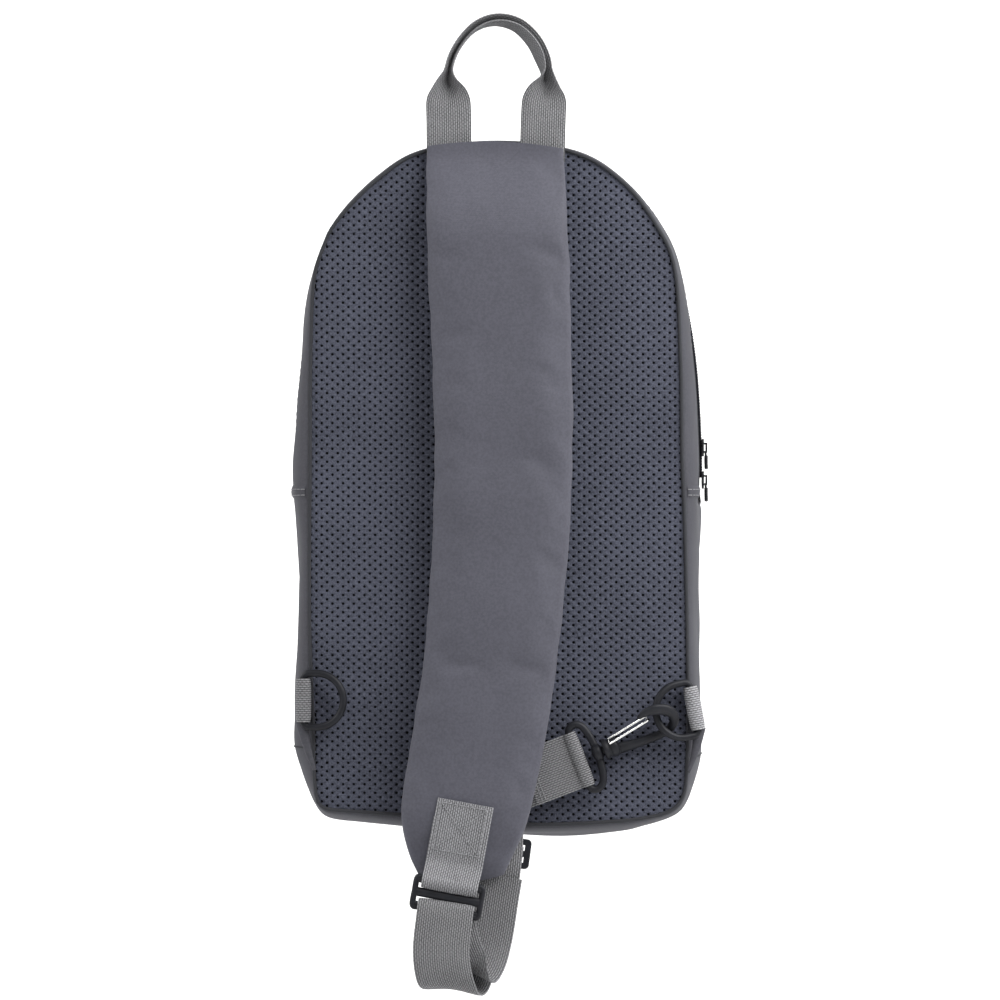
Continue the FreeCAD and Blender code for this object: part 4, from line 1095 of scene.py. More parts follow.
# ---- shell --------------------------------------------------------------------------
@dataclass
class Shell:
    """The gusset, front panels, hems and linings."""

    lining_gap: float = 2.6
    lining_thick: float = 0.7
    hem_radius: float = 91.0
    stitch_off: float = 8.6
    piping: float = 1.15
    tuck: float = 0.45
    tail_thick: float = 2.9
    tail_taper: float = 2.1
    arch_trim: float = 0.004
    arch: tuple = (0.0, math.pi)
    bowl: tuple = (math.pi, 2 * math.pi)
    tucks: tuple = ((-90.6, -320.8), (91.2, -324.6))
    tails: tuple = (((-87.2, -1.2, -309.0), (-81.6, -0.8, -330.5)),
                    ((89.6, -1.2, -311.5), (85.0, -0.8, -331.0)))

    def band(self, name: str, angles: Points, low: float, high: float, rows: int,
             finish: Finish = FABRIC, gap: float = 0.0, thick: float = 1.5) -> bpy.types.Object:
        """A closed strip of wall between two depths.

        Args:
            name: The piece's name.
            angles: Directions that it covers.
            low: Its back edge's depth.
            high: Its front edge's depth.
            rows: Faces from back to front.
            finish: Its outer finish.
            gap: How far its outer surface lies inside the wall's.
            thick: Its thickness.

        Returns:
            The piece.
        """
        depths = SHAPE.depth_steps(low, high, rows + 1)
        outer = SHAPE.wall_points(angles, depths, gap)
        inner = SHAPE.wall_points(angles, depths, gap + thick)
        rolled = np.concatenate([inner[:, :1], outer, inner[:, -1:]], axis=1)
        cloth = Cloth()
        cloth.grid(rolled, rolled[..., [0, 2]])
        cloth.grid(inner, flip=True, slot=1)
        for end, flip in ((0, False), (-1, True)):
            cloth.grid(np.stack([outer[end], inner[end]]), flip=flip)
        return cloth.make(name, [finish, LINING], sharp=60, merge=0.01)

    def gussets(self) -> None:
        """The three outer walls."""
        arch = SHAPE.spread(*self.arch, 190)
        bowl = SHAPE.spread(*self.bowl, 240)
        reach = SHAPE.tape_reach
        rear = self.band("gusset_rear", arch, SHAPE.seam_y, SHAPE.zip_y - reach, 16)
        settle(rear, "bag_body", "grey_fabric", "rear_gusset")
        front_arch = SHAPE.spread(self.arch_trim, math.pi - self.arch_trim, 190)
        front = self.band("gusset_front", front_arch, SHAPE.zip_y + reach, SHAPE.front_y, 20)
        settle(front, "front_flap", "grey_fabric", "front_gusset")
        lower = self.band("gusset_lower", bowl, SHAPE.seam_y, SHAPE.front_y, 36)
        settle(lower, "bag_body", "grey_fabric", "lower_gusset")

    def front_depth(self, x: Points, z: Points) -> Points:
        """The front's crowned surface.

        Args:
            x: Places across it, in millimetres.
            z: Heights, in millimetres.

        Returns:
            Its depth at each.
        """
        angle = np.arctan2(z - SHAPE.hem_z, x)
        share = np.clip(np.hypot(x, z - SHAPE.hem_z) / SHAPE.radii(SHAPE.seam, angle), 0, 1)
        soft = 0.6 * ripple(x, z, 90, 3.3) * (1 - share ** 4)
        return SHAPE.front_y - 0.4 + SHAPE.front_crown * (1 - share ** 3.2) + soft

    def front(self) -> None:
        """The front, one cloth across the hinge line, left without a body."""
        angles = SHAPE.spread(0, 2 * math.pi, 241)[:-1]
        share = np.concatenate([np.linspace(0.015, 0.9, 26), np.linspace(0.925, 0.998, 6)])
        far = SHAPE.radii(SHAPE.seam, angles)[None, :] * share[:, None]
        x, z = far * np.cos(angles), SHAPE.hem_z + far * np.sin(angles)
        y = self.front_depth(x, z)
        cloth = Cloth()
        outer, inner = np.stack([x, y, z], -1), np.stack([x, y - SHAPE.wall, z], -1)
        cloth.grid(outer, wrap_columns=True, flip=True)
        cloth.grid(inner, wrap_columns=True, slot=1)
        cloth.grid(np.stack([outer[-1], inner[-1]]), wrap_columns=True, flip=True)
        middle = self.front_depth(np.zeros(1), np.full(1, SHAPE.hem_z))[0]
        cloth.fan(outer[0], [0, middle, SHAPE.hem_z])
        cloth.fan(inner[0], [0, middle - SHAPE.wall, SHAPE.hem_z], slot=1)
        piece = cloth.make("front_panel", [FABRIC, LINING], merge=0.01)
        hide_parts("front_upper_panel", "front_lower_panel")
        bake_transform(piece)
        LOG.info("front_panel bends between bag_body and front_flap")

    def linings(self) -> None:
        """The thin lining inside each wall."""
        arch = SHAPE.spread(0.01, math.pi - 0.01, 120)
        bowl = SHAPE.spread(*self.bowl, 150)
        reach = SHAPE.tape_reach + 1.0
        low, high = SHAPE.seam_y + 10.0, SHAPE.front_y - 3.0
        spans = (("lining_upper", arch, low, SHAPE.zip_y - reach, "bag_body", "upper_lining"),
                 ("lining_flap", arch, SHAPE.zip_y + reach, high, "front_flap", "flap_lining"),
                 ("lining_lower", bowl, low, high, "bag_body", "lower_lining"))
        for name, angles, near, far, body, node in spans:
            piece = self.band(name, angles, near, far, 10, LINING, self.lining_gap, self.lining_thick)
            settle(piece, body, "lining_fabric", node)

    def back_lining(self) -> None:
        """The lining over the back pad, seen when the flap is open."""
        angles = np.linspace(0, 2 * math.pi, 120, endpoint=False)
        share = np.linspace(0.02, 0.985, 14)
        far = SHAPE.radii(SHAPE.seam, angles)[None, :] * share[:, None]
        x, z = far * np.cos(angles), SHAPE.hem_z + far * np.sin(angles)
        y = SHAPE.seam_y + 9.4 + 0.5 * ripple(x, z, 70, 5.2)
        cloth = Cloth()
        for lift, flip in ((0.0, False), (self.lining_thick, True)):
            layer = np.stack([x, y + lift, z], -1)
            cloth.grid(layer, wrap_columns=True, flip=flip)
            cloth.fan(layer[0], [0, layer[0][:, 1].mean(), SHAPE.hem_z])
        cloth.grid(np.stack([np.stack([x[-1], y[-1], z[-1]], -1),
                             np.stack([x[-1], y[-1] + self.lining_thick, z[-1]], -1)]), wrap_columns=True)
        piece = cloth.make("lining_back", [LINING], merge=0.01)
        settle(piece, "bag_body", "lining_fabric", "back_lining")

    def hems(self) -> None:
        """The raised hem across each side, with its two rows of stitches."""
        cloth = Cloth()
        spans = [(side, rise, low + (high - low) * np.linspace(0, 1, 22) ** 1.8) for side in Side
                 for rise, low, high in ((2.6, SHAPE.seam_y + 0.1, 30.0), (0.0, 41.0, SHAPE.front_y - 1.5))]
        for side, rise, depths in spans:
            drop = -1 if side is Side.RIGHT else 1
            level = (0.0 if side is Side.RIGHT else math.pi) - drop * rise / self.hem_radius
            angles = level + drop * np.linspace(0.0, SHAPE.hem_high / self.hem_radius, 5)
            lift = np.array([0.15, 0.85, 0.95, 0.85, 0.1])
            face = np.stack([SHAPE.wall_points(np.array([a]), depths, -h)[0] for a, h in zip(angles, lift)])
            back = np.stack([SHAPE.wall_points(np.array([a]), depths, 0.3)[0] for a in angles])
            flip = side is Side.LEFT
            loop = np.concatenate([face, back[::-1]])
            cloth.grid(loop, loop[..., [1, 2]], wrap_rows=True, flip=flip)
            for share in (0.3, 0.75):
                angle = level + drop * share * SHAPE.hem_high / self.hem_radius
                line = SHAPE.wall_points(np.array([angle]), depths, -0.98)[0]
                cloth.stitches(line, [side.value, 0, 0], *HEM_STITCH, slot=1)
        piece = cloth.make("side_hems", [FABRIC, THREAD])
        settle(piece, "bag_body", "grey_fabric", "gusset_hems")

    def corner_tucks(self) -> None:
        """The small seam across the gusset above each lower corner, drawn as a near-black tube: painted shade
        in its crease.
        """
        cloth = Cloth()
        for x, z in self.tucks:
            start = math.atan2(z - SHAPE.hem_z, x)
            depths = np.concatenate([np.linspace(SHAPE.seam_y + 0.4, 20, 16),
                                     np.linspace(24, SHAPE.front_y - 6, 20)])
            line = []
            for depth in depths:
                angle = start
                for _ in range(12):
                    point = SHAPE.wall_points(np.array([angle]), np.array([depth]), -0.05)[0, 0]
                    angle += math.copysign(1, x) * (z - point[2]) / 115.0
                line.append(point)
            line = np.array(line)
            # The tuck is the grey fabric, but its tube takes the near-black binding finish: painted shade of
            # the seam's crease.
            cloth.tube(line, self.tuck, sides=6, up=(x, 0.1, z - SHAPE.hem_z))
        settle(cloth.make("corner_tucks", [BINDING]), "bag_body", "grey_fabric")
        cloth = Cloth()
        for start, end in self.tails:
            share = np.linspace(0, 1, 14)[:, None]
            line = np.array([start]) * (1 - share) + np.array([end]) * share
            line[:, 0] += np.sin(share[:, 0] * math.pi) * math.copysign(0.7, start[0])
            radius = self.tail_thick - self.tail_taper * share[:, 0] ** 0.9
            cloth.tube(line, radius, sides=14, aspect=0.7)
        settle(cloth.make("tab_tails", [FABRIC]), "bag_body", "grey_fabric")

    def seams(self) -> None:
        """Stitch rows beside the zip and the piped seam round the front."""
        for body, depth in (("bag_body", SHAPE.zip_y - self.stitch_off),
                            ("front_flap", SHAPE.zip_y + self.stitch_off)):
            cloth = Cloth()
            angles = SHAPE.spread(0.02, math.pi - 0.02, 260)
            line = SHAPE.wall_points(angles, np.array([depth]), 0.24)[:, 0]
            out = np.stack([np.cos(angles), 0 * angles, np.sin(angles)], axis=1)
            cloth.stitches(line, out, *SEAM_STITCH)
            piece = cloth.make("stitches_" + body, [THREAD])
            settle(piece, body, "grey_fabric")
        for name, body, low, high in (("piping_lower", "bag_body", math.pi, 2 * math.pi),
                                      ("piping_flap", "front_flap", 0.006, math.pi - 0.006)):
            angles = SHAPE.spread(low, high, 200)
            line = SHAPE.wall_points(angles, np.array([SHAPE.front_y]), 0.4)[:, 0]
            cloth = Cloth()
            cloth.tube(line, self.piping, sides=8)
            settle(cloth.make(name, [BINDING]), body, "binding_tape")

    def build(self) -> None:
        """Make the shell's pieces."""
        self.gussets()
        self.front()
        self.linings()
        self.back_lining()
        self.hems()
        self.corner_tucks()
        self.seams()


# ---- zips ---------------------------------------------------------------------------
@dataclass
class Zips:
    """The main zip's tapes and coils, and the pocket's."""

    coil_radius: float = 0.72
    coil_wire: float = 0.27
    coil_pitch: float = 1.3
    tape_thick: float = 0.7
    meet: float = 0.35
    coil_off: float = 1.45
    cord: float = 0.56
    coil_rise: float = 0.75
    pull_wide: float = 2.1
    pull_thick: float = 0.85
    pull_line: tuple = ((0.25, -1.7), (0.22, -3.4), (0.25, -5.4), (0.35, -7.6))
    fork_line: tuple = ((0.05, 0.45), (0.0, -0.4), (0.1, -1.4), (0.2, -2.6))
    fork_half: float = 1.62
    fork_radius: float = 0.44

    def coil(self, cloth: Cloth, path: Points, out: Points) -> None:
        """Wind a nylon coil along a path.

        Args:
            cloth: The mesh it is added to.
            path: The coil's middle line.
            out: Direction out of the tape at each station.
        """
        far = run_of(path)
        turns = far[-1] / self.coil_pitch
        marks = np.linspace(0, far[-1], int(turns * 8))
        middle = np.stack([np.interp(marks, far, path[:, i]) for i in range(3)], axis=1)
        normal = unit(np.stack([np.interp(marks, far, out[:, i]) for i in range(3)], axis=1))
        side = unit(np.cross(tangents(middle), normal))
        turn = 2 * math.pi * marks / self.coil_pitch
        line = (middle + side * (1.1 * self.coil_radius * np.cos(turn))[:, None]
                + normal * (0.8 * self.coil_radius * np.sin(turn))[:, None])
        cloth.tube(line, self.coil_wire, sides=5, up=(0.31, 0.55, 0.77))
        cloth.tube(path, self.cord, sides=6, up=(0.31, 0.55, 0.77))

    def main_zip(self) -> None:
        """The two tapes and coils that run over the arch."""
        sides = (("rear", "bag_body", -1, ("zip_tape_rear", "zip_coil_rear", "zip_stops")),
                 ("front", "front_flap", 1, ("zip_tape_front", "zip_coil_front")))
        for name, body, sign, nodes in sides:
            angles = SHAPE.spread(0.004, math.pi - 0.004, 200)
            near = SHAPE.zip_y + sign * self.meet
            edge = SHAPE.zip_y + sign * (SHAPE.tape_reach + 1.2)
            depths = np.linspace(*sorted((near, edge)), 4)
            rise = self.coil_rise * SHAPE.proud_share(angles)[:, None, None]
            rise = rise * np.stack([np.cos(angles), 0 * angles, np.sin(angles)], axis=1)[:, None]
            outer = SHAPE.wall_points(angles, depths, 0.5) + rise
            inner = SHAPE.wall_points(angles, depths, 0.5 + self.tape_thick) + rise
            tape = Cloth()
            loop = np.concatenate([outer, inner[:, ::-1]], axis=1)
            tape.grid(loop, loop[..., [0, 2]], wrap_columns=True)
            piece = tape.make("tape_" + name, [TAPE])
            settle(piece, body, "zip_tape", nodes[0])
            line = SHAPE.wall_points(angles[3:], np.array([SHAPE.zip_y + sign * self.coil_off]), 0.0)[:, 0]
            out = np.stack([np.cos(angles[3:]), 0 * angles[3:], np.sin(angles[3:])], axis=1)
            coil = Cloth()
            self.coil(coil, line + out * self.coil_rise * SHAPE.proud_share(angles[3:])[:, None], out)
            settle(coil.make("coil_" + name, [COIL_PLASTIC]), body, "black_plastic", *nodes[1:])

    def pocket_zip(self) -> None:
        """The short straight zip across the pocket."""
        low, high = (np.array(c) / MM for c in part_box("pocket_zip_tape"))
        middle = (low + high) / 2
        tape, coils = Cloth(), Cloth()
        for sign in (-1, 1):
            z0 = middle[2] + sign * self.meet
            z1 = middle[2] + sign * (high[2] - middle[2] + 0.6)
            x = np.linspace(low[0], high[0], 40)
            rows = [np.stack([x, np.full_like(x, y), np.full_like(x, z)], axis=1)
                    for y, z in ((high[1], z0), (high[1], z1), (low[1], z1), (low[1], z0))]
            tape.grid(np.stack(rows), np.stack(rows)[..., [0, 2]], wrap_rows=True, flip=sign > 0)
            level = middle[2] + sign * self.coil_off
            line = np.stack([x, np.full_like(x, high[1] + 0.5), np.full_like(x, level)], 1)
            self.coil(coils, line, np.broadcast_to([0.0, 1.0, 0.0], line.shape))
        settle(tape.make("pocket_tape", [TAPE]), "bag_body", "zip_tape", "pocket_zip_tape")
        settle(coils.make("pocket_coils", [COIL_PLASTIC]), "bag_body", "black_plastic", "pocket_zip_coil")

    def pull(self, name: str) -> None:
        """A pull whose two prongs straddle its slider's bail.

        Args:
            name: Which slider it hangs from.
        """
        pivot = np.array(joint(name + "_pull_lift")["pos_m"]) / MM
        plate = spline(list(self.pull_line), 30)
        path = pivot + np.stack([plate[:, 0], 0 * plate[:, 0], plate[:, 1]], axis=1)
        share = np.linspace(0, 1, len(path))
        width = self.pull_wide * (1 - 0.2 * np.sin(math.pi * share)) * (1 - 0.3 * share ** 12)
        cloth = Cloth()
        cloth.tube(path, width, sides=16, aspect=self.pull_thick / width, up=(1, 0, 0))
        prong = spline(list(self.fork_line), 12)
        for side in Side:
            aside = np.full(len(prong), side.value * self.fork_half)
            line = pivot + np.stack([prong[:, 0], aside, prong[:, 1]], axis=1)
            cloth.tube(line, self.fork_radius, sides=10, up=(0, 1, 0))
        piece = cloth.make("pull_" + name, [LACQUER])
        settle(piece, "main_pull_" + name, "black_plastic", "main_pull_" + name)

    def build(self) -> None:
        """Make the zips and lacquer their sliders."""
        self.main_zip()
        self.pocket_zip()
        self.pull("lower")
        self.pull("upper")
        for node in ("main_slider_lower", "main_slider_upper", "pocket_slider", "pocket_pull"):
            dress(node, LACQUER)


def dress(node: str, finish: Finish) -> None:
    """Give a carried-over CAD node its finish.

    Args:
        node: Its name.
        finish: What it is made of.
    """
    piece = frame["nodes"][node]
    for slot in piece.material_slots:
        slot.material = finish.material()
    LOG.info("%s keeps its CAD shape", node)


# ---- pocket -------------------------------------------------------------------------
@dataclass
class Pocket:
    """The front pocket: a softly crowned pouch with a slot for its zip."""

    crown: float = 1.6
    squareness: float = 0.24
    skirt: tuple = ((1.0, -2.2), (1.0, 4.5), (0.99, 7.6), (0.965, 9.8), (0.93, 10.7), (0.85, 11.0))
    top: float = 11.0
    slot_floor: float = 9.0
    slot_half: float = 5.0
    slot_ends: tuple = (-62, -57)
    stitch_off: float = 5.6

    def build(self) -> None:
        """Make the pouch."""
        low, high = (np.array(c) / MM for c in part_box("front_pocket"))
        tape_low, tape_high = (np.array(c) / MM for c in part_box("pocket_zip_tape"))
        middle = (low + high) / 2
        half = (high - low) / 2
        turn = np.linspace(0, 2 * math.pi, 160, endpoint=False)
        c, s = np.cos(turn), np.sin(turn)
        rim = np.stack([middle[0] + half[0] * np.sign(c) * np.abs(c) ** self.squareness,
                        middle[2] + half[2] * np.sign(s) * np.abs(s) ** self.squareness], axis=1)
        zip_z = (tape_low[2] + tape_high[2]) / 2
        rows = []
        for share, rise in self.skirt:
            ring = np.array([middle[0], middle[2]]) + (rim - [middle[0], middle[2]]) * share
            rows.append(np.stack([ring[:, 0], np.full(len(ring), low[1] + rise), ring[:, 1]], axis=1))
        for share in np.linspace(0.8, 0.02, 26):
            ring = np.array([middle[0], middle[2]]) + (rim - [middle[0], middle[2]]) * share
            rise = self.top + self.crown * (1 - share ** 2) + 0.3 * ripple(ring[:, 0], ring[:, 1], 60, 2.4)
            groove = np.exp(-((ring[:, 1] - zip_z) / self.slot_half) ** 4)
            groove = groove * smooth_step(-np.abs(ring[:, 0]), *self.slot_ends)
            depth = low[1] + rise - groove * (rise - self.slot_floor)
            rows.append(np.stack([ring[:, 0], depth, ring[:, 1]], axis=1))
        cloth = Cloth()
        skin = np.stack(rows)
        cloth.grid(skin, wrap_columns=True, flip=True)
        cloth.fan(skin[-1], skin[-1].mean(axis=0))
        for drop in (-self.stitch_off, self.stitch_off):
            x = np.linspace(-60, 60, 60)
            line = np.stack([x, np.full_like(x, low[1] + 12.0), np.full_like(x, zip_z + drop)], axis=1)
            cloth.stitches(line, TO_FRONT, *SEAM_STITCH, slot=1)
        piece = cloth.make("pocket_pouch", [FABRIC, THREAD])
        settle(piece, "bag_body", "grey_fabric", "front_pocket")


# ---- strap --------------------------------------------------------------------------
@dataclass
class PaddedStrap:
    """The wide padded strap and its mesh back."""

    left: tuple = ((-31.6, -53.2), (-31.4, -100), (-29.6, -140), (-28.2, -190), (-29.4, -236), (-33.0, -282),
                   (-37.6, -312), (-42.2, -340), (-42.6, -352), (-40.2, -366), (-35.4, -376.0))
    right: tuple = ((29.2, -54.4), (31.4, -100), (32.8, -150), (33.0, -196), (30.6, -240), (26.4, -280),
                    (21.4, -314), (16.8, -338), (14.4, -348), (9.4, -362), (2.6, -376.4))
    top_bow: float = 2.6
    end_bow: float = -3.6
    thick: float = 10.6
    sewn: float = 2.6
    back_y: float = -8.6
    seam_y: float = -1.9
    lift_off: tuple = (-92.0, -55)
    fill_out: tuple = (-98, -52)
    thin_end: float = 0.38
    held_top: float = -57
    held_end: float = -372
    held_edge: float = 1.2
    pressure: float = 3.0
    slack: float = 0.007
    most: float = 0.9
    rows: int = 150
    columns: int = 26
    mesh_start: int = 6

    def edges(self) -> tuple:
        """The strap's two edges, station by station.

        Returns:
            The left edge and the right one, as x and z.
        """
        left, right = spline(list(self.left), self.rows), spline(list(self.right), self.rows)
        left[:, 0] += 0.35 * ripple(left[:, 1], left[:, 1] * 0.7, 26, 0.7)
        right[:, 0] += 0.35 * ripple(right[:, 1], right[:, 1] * 0.6, 31, 2.1)
        return left, right

    def surface(self, across: Points, front: bool, lift: float = 0.0) -> Points:
        """One face of the strap.

        Args:
            across: Places across it, from -1 to 1.
            front: Whether it is the outer face.
            lift: How far outside the face.

        Returns:
            Points, rows by places by three.
        """
        left, right = self.edges()
        middle, half = (left + right) / 2, (right - left) / 2
        t = np.linspace(0, 1, self.rows)
        bow = self.top_bow * (1 - smooth_step(t, 0, 0.05)) + self.end_bow * smooth_step(t, 0.93, 1)
        flat = middle[:, None] + half[:, None] * across[None, :, None]
        x, z = flat[..., 0], flat[..., 1] + bow[:, None] * (1 - across[None] ** 2)
        full = smooth_step(z, *self.lift_off)
        rear = self.back_y + (self.seam_y - self.back_y) * full
        thick = self.thick + (self.sewn - self.thick) * smooth_step(z, *self.fill_out)
        thick = thick * (1 - self.thin_end * smooth_step(t, 0.90, 1.0)[:, None])
        round_off = np.sqrt(np.clip(1 - np.abs(across) ** 7, 0, 1))[None, :]
        end = np.sqrt(np.clip(1 - smooth_step(t, 0.965, 1.0) ** 2, 0, 1))[:, None]
        round_off = round_off * (0.15 + 0.85 * end)
        wave = 0.35 * ripple(x, z, 58, 1.9) + 0.22 * ripple(x * 2, z, 27, 3.7)
        wave = wave + 0.4 * np.sin(z / 7.2 + 0.5 * np.sin(x / 14))
        swell = 0.55 * (1 - across[None] ** 2) * (1 - full)
        centre = rear - thick / 2
        reach = thick / 2 * round_off + lift
        y = centre - reach - (wave * 0.6 + swell) * round_off if front else centre + reach
        return np.stack([x, np.broadcast_to(y, x.shape), z], axis=-1)

    def padding(self) -> bpy.types.Object:
        """The strap's closed, padded body in smooth fabric.

        Returns:
            The piece.
        """
        bend = np.linspace(-math.pi / 2, math.pi / 2, self.columns + 1)
        across = np.sin(bend)
        face, back = self.surface(across, True), self.surface(across, False)
        loop = np.concatenate([face, back[:, ::-1][:, 1:-1]], axis=1)
        cloth = Cloth()
        cloth.grid(loop, loop[..., [0, 2]], wrap_columns=True)
        cloth.fan(loop[0], loop[0].mean(axis=0))
        cloth.fan(loop[-1], loop[-1].mean(axis=0), flip=True)
        piece = cloth.make("strap_padding", [STRAP_FABRIC], merge=0.01)
        spots = np.array([v.co for v in piece.data.vertices]) / MM
        left, right = self.edges()
        order = np.argsort(left[:, 1])
        low = np.interp(spots[:, 2], left[order, 1], left[order, 0])
        order = np.argsort(right[:, 1])
        high = np.interp(spots[:, 2], right[order, 1], right[order, 0])
        near_edge = np.minimum(spots[:, 0] - low, high - spots[:, 0]) < self.held_edge
        held = np.flatnonzero(near_edge | (spots[:, 2] > self.held_top) | (spots[:, 2] < self.held_end))
        puff(piece, held, self.pressure, self.slack, self.most)
        settle(piece, "padded_strap", "grey_fabric", "strap_foam", "strap_face")
        return piece

    def mesh_back(self) -> bpy.types.Object:
        """The strap's mesh side, a thin layer against the wearer.

        Returns:
            The piece.
        """
        across = np.sin(np.linspace(-1.3, 1.3, 19))
        near, far = self.surface(across, False, 0.75), self.surface(across, False, 0.05)
        loop = np.concatenate([far, near[:, ::-1]], axis=1)[self.mesh_start:]
        cloth = Cloth()
        cloth.grid(loop, loop[..., [0, 2]], wrap_columns=True)
        for row, flip in ((0, False), (-1, True)):
            cloth.fan(loop[row], loop[row].mean(axis=0), flip=flip)
        piece = cloth.make("strap_mesh", [MESH], merge=0.01)
        return settle(piece, "padded_strap", "mesh_fabric", "strap_back_mesh")

    def build(self) -> None:
        """Make the strap's pieces."""
        self.padding()
        self.mesh_back()


# ---- handle -------------------------------------------------------------------------
@dataclass
class Handle:
    """20 mm webbing, flat at its feet, folded in half and a little twisted over the arch."""

    web: float = 20.0
    thick: float = 1.5
    stations: int = 150
    columns: int = 17
    fold_turn: float = 81
    soft_fold: float = 0.16
    path: tuple = ((-21.6, -0.4, -60.0), (-21.8, -0.4, -50.0), (-21.9, -0.4, -40.0), (-22.2, 0.0, -30.0),
                   (-22.4, 0.4, -22.5), (-20.6, 0.2, -14.0), (-16.2, 0, -6.2), (-9.2, 0, 0.4), (-0.6, 0, 3.0),
                   (8.4, 0, 0.9), (15.4, 0, -5.4), (19.6, 0, -13.2), (21.4, 0.4, -21.0), (20.8, 0.0, -29.0),
                   (20.2, -0.4, -40.0), (19.9, -0.4, -50.0), (19.7, -0.4, -60.0))

    def section(self, half_turn: float, count: int) -> Points:
        """The webbing's cross-section, folded about its middle.

        Args:
            half_turn: Angle of each half from the fold's axis, in degrees: 90 is flat.
            count: Points on each face.

        Returns:
            The closed section, across and outwards.
        """
        s = np.linspace(-1, 1, count)
        angle = math.radians(half_turn)
        spread = np.sqrt(s ** 2 + self.soft_fold ** 2) - self.soft_fold
        line = np.stack([s * math.sin(angle), spread * math.cos(angle)], axis=1) * self.web / 2
        along = tangents(line)
        normal = np.stack([-along[:, 1], along[:, 0]], axis=1)
        edge = (self.thick / 2 * (1 - 0.6 * np.abs(s) ** 9))[:, None]
        return np.concatenate([line + normal * edge, (line - normal * edge)[::-1]])

    def build(self) -> None:
        """Make the handle."""
        path = spline(list(self.path), self.stations)
        far = run_of(path)
        share = far / far[-1]
        along = tangents(path)
        fold = smooth_step(share, 0.15, 0.285) * smooth_step(-share, -0.85, -0.715)
        half_turn = 90 - self.fold_turn * fold
        twist = np.radians(3 + 36 * smooth_step(share, 0.34, 0.66)) * smooth_step(share, 0.26, 0.4)
        twist = twist * smooth_step(-share, -0.79, -0.67)
        inward = unit(np.cross(along, TO_WEARER))
        count = self.columns
        rings, places = [], []
        for i in range(len(path)):
            flat = self.section(half_turn[i], count)
            turn = twist[i]
            width = inward[i] * math.cos(turn) + TO_WEARER * math.sin(turn)
            deep = TO_WEARER * math.cos(turn) - inward[i] * math.sin(turn)
            shift = -self.web / 2 * math.cos(math.radians(half_turn[i])) * 0.5
            rings.append(path[i] + flat[:, :1] * width + (flat[:, 1:] + shift) * deep)
            s = np.linspace(-1, 1, count) * self.web / 2
            places.append(np.stack([np.concatenate([s, s[::-1]]), np.full(2 * count, far[i])], axis=1))
        cloth = Cloth()
        ring = np.stack(rings)
        cloth.grid(ring, np.stack(places), wrap_columns=True)
        cloth.fan(ring[0], ring[0].mean(axis=0))
        cloth.fan(ring[-1], ring[-1].mean(axis=0), flip=True)
        piece = cloth.make("handle_webbing", [WEB], sharp=70)
        settle(piece, "bag_body", "webbing", "carry_handle")


# ---- rings and tabs -----------------------------------------------------------------
@dataclass
class RingTabs:
    """The webbing tabs that hold the D-rings."""

    web: float = 19.6
    bore: float = 2.0
    thick: float = 1.4
    tail: float = 7.0

    def build(self) -> None:
        """Make both tabs and dress the rings."""
        for side, name in ((Side.LEFT, "left"), (Side.RIGHT, "right")):
            swing = joint(name + "_ring_swing")
            pivot = np.array(swing["pos_m"]) / MM
            bar = unit(np.array(swing["axis"], float)) * (1 if side is Side.RIGHT else -1)
            out = np.array([side.value, 0.0, 0.0]) - bar * bar[0] * side.value
            radius = self.bore + self.thick / 2
            turn = np.radians(np.linspace(20, 262, 26))
            loop = pivot + radius * arc(turn, TO_FRONT, -out)
            steps = np.linspace(0.15, 1, 6)[:, None]
            tail = loop[-1] + steps * (TO_FRONT * self.tail - out * 0.6)
            lead = loop[0] + np.linspace(1, 0.15, 5)[:, None] * (TO_FRONT * self.tail * 0.8 + out * 1.6)
            path = spline(np.vstack([lead, loop, tail]).tolist(), 60)
            cloth = Cloth()
            cloth.ribbon(path, bar, self.web, self.thick, columns=14)
            # The right tab takes the lighter webbing copy: painted light on its lit side.
            piece = cloth.make("ring_tab_" + name, [WEB_PAINTED_LIT if side is Side.RIGHT else WEB])
            settle(piece, "bag_body", "webbing", "d_ring_tab_" + name)
            dress("d_ring_" + name, PLASTIC)


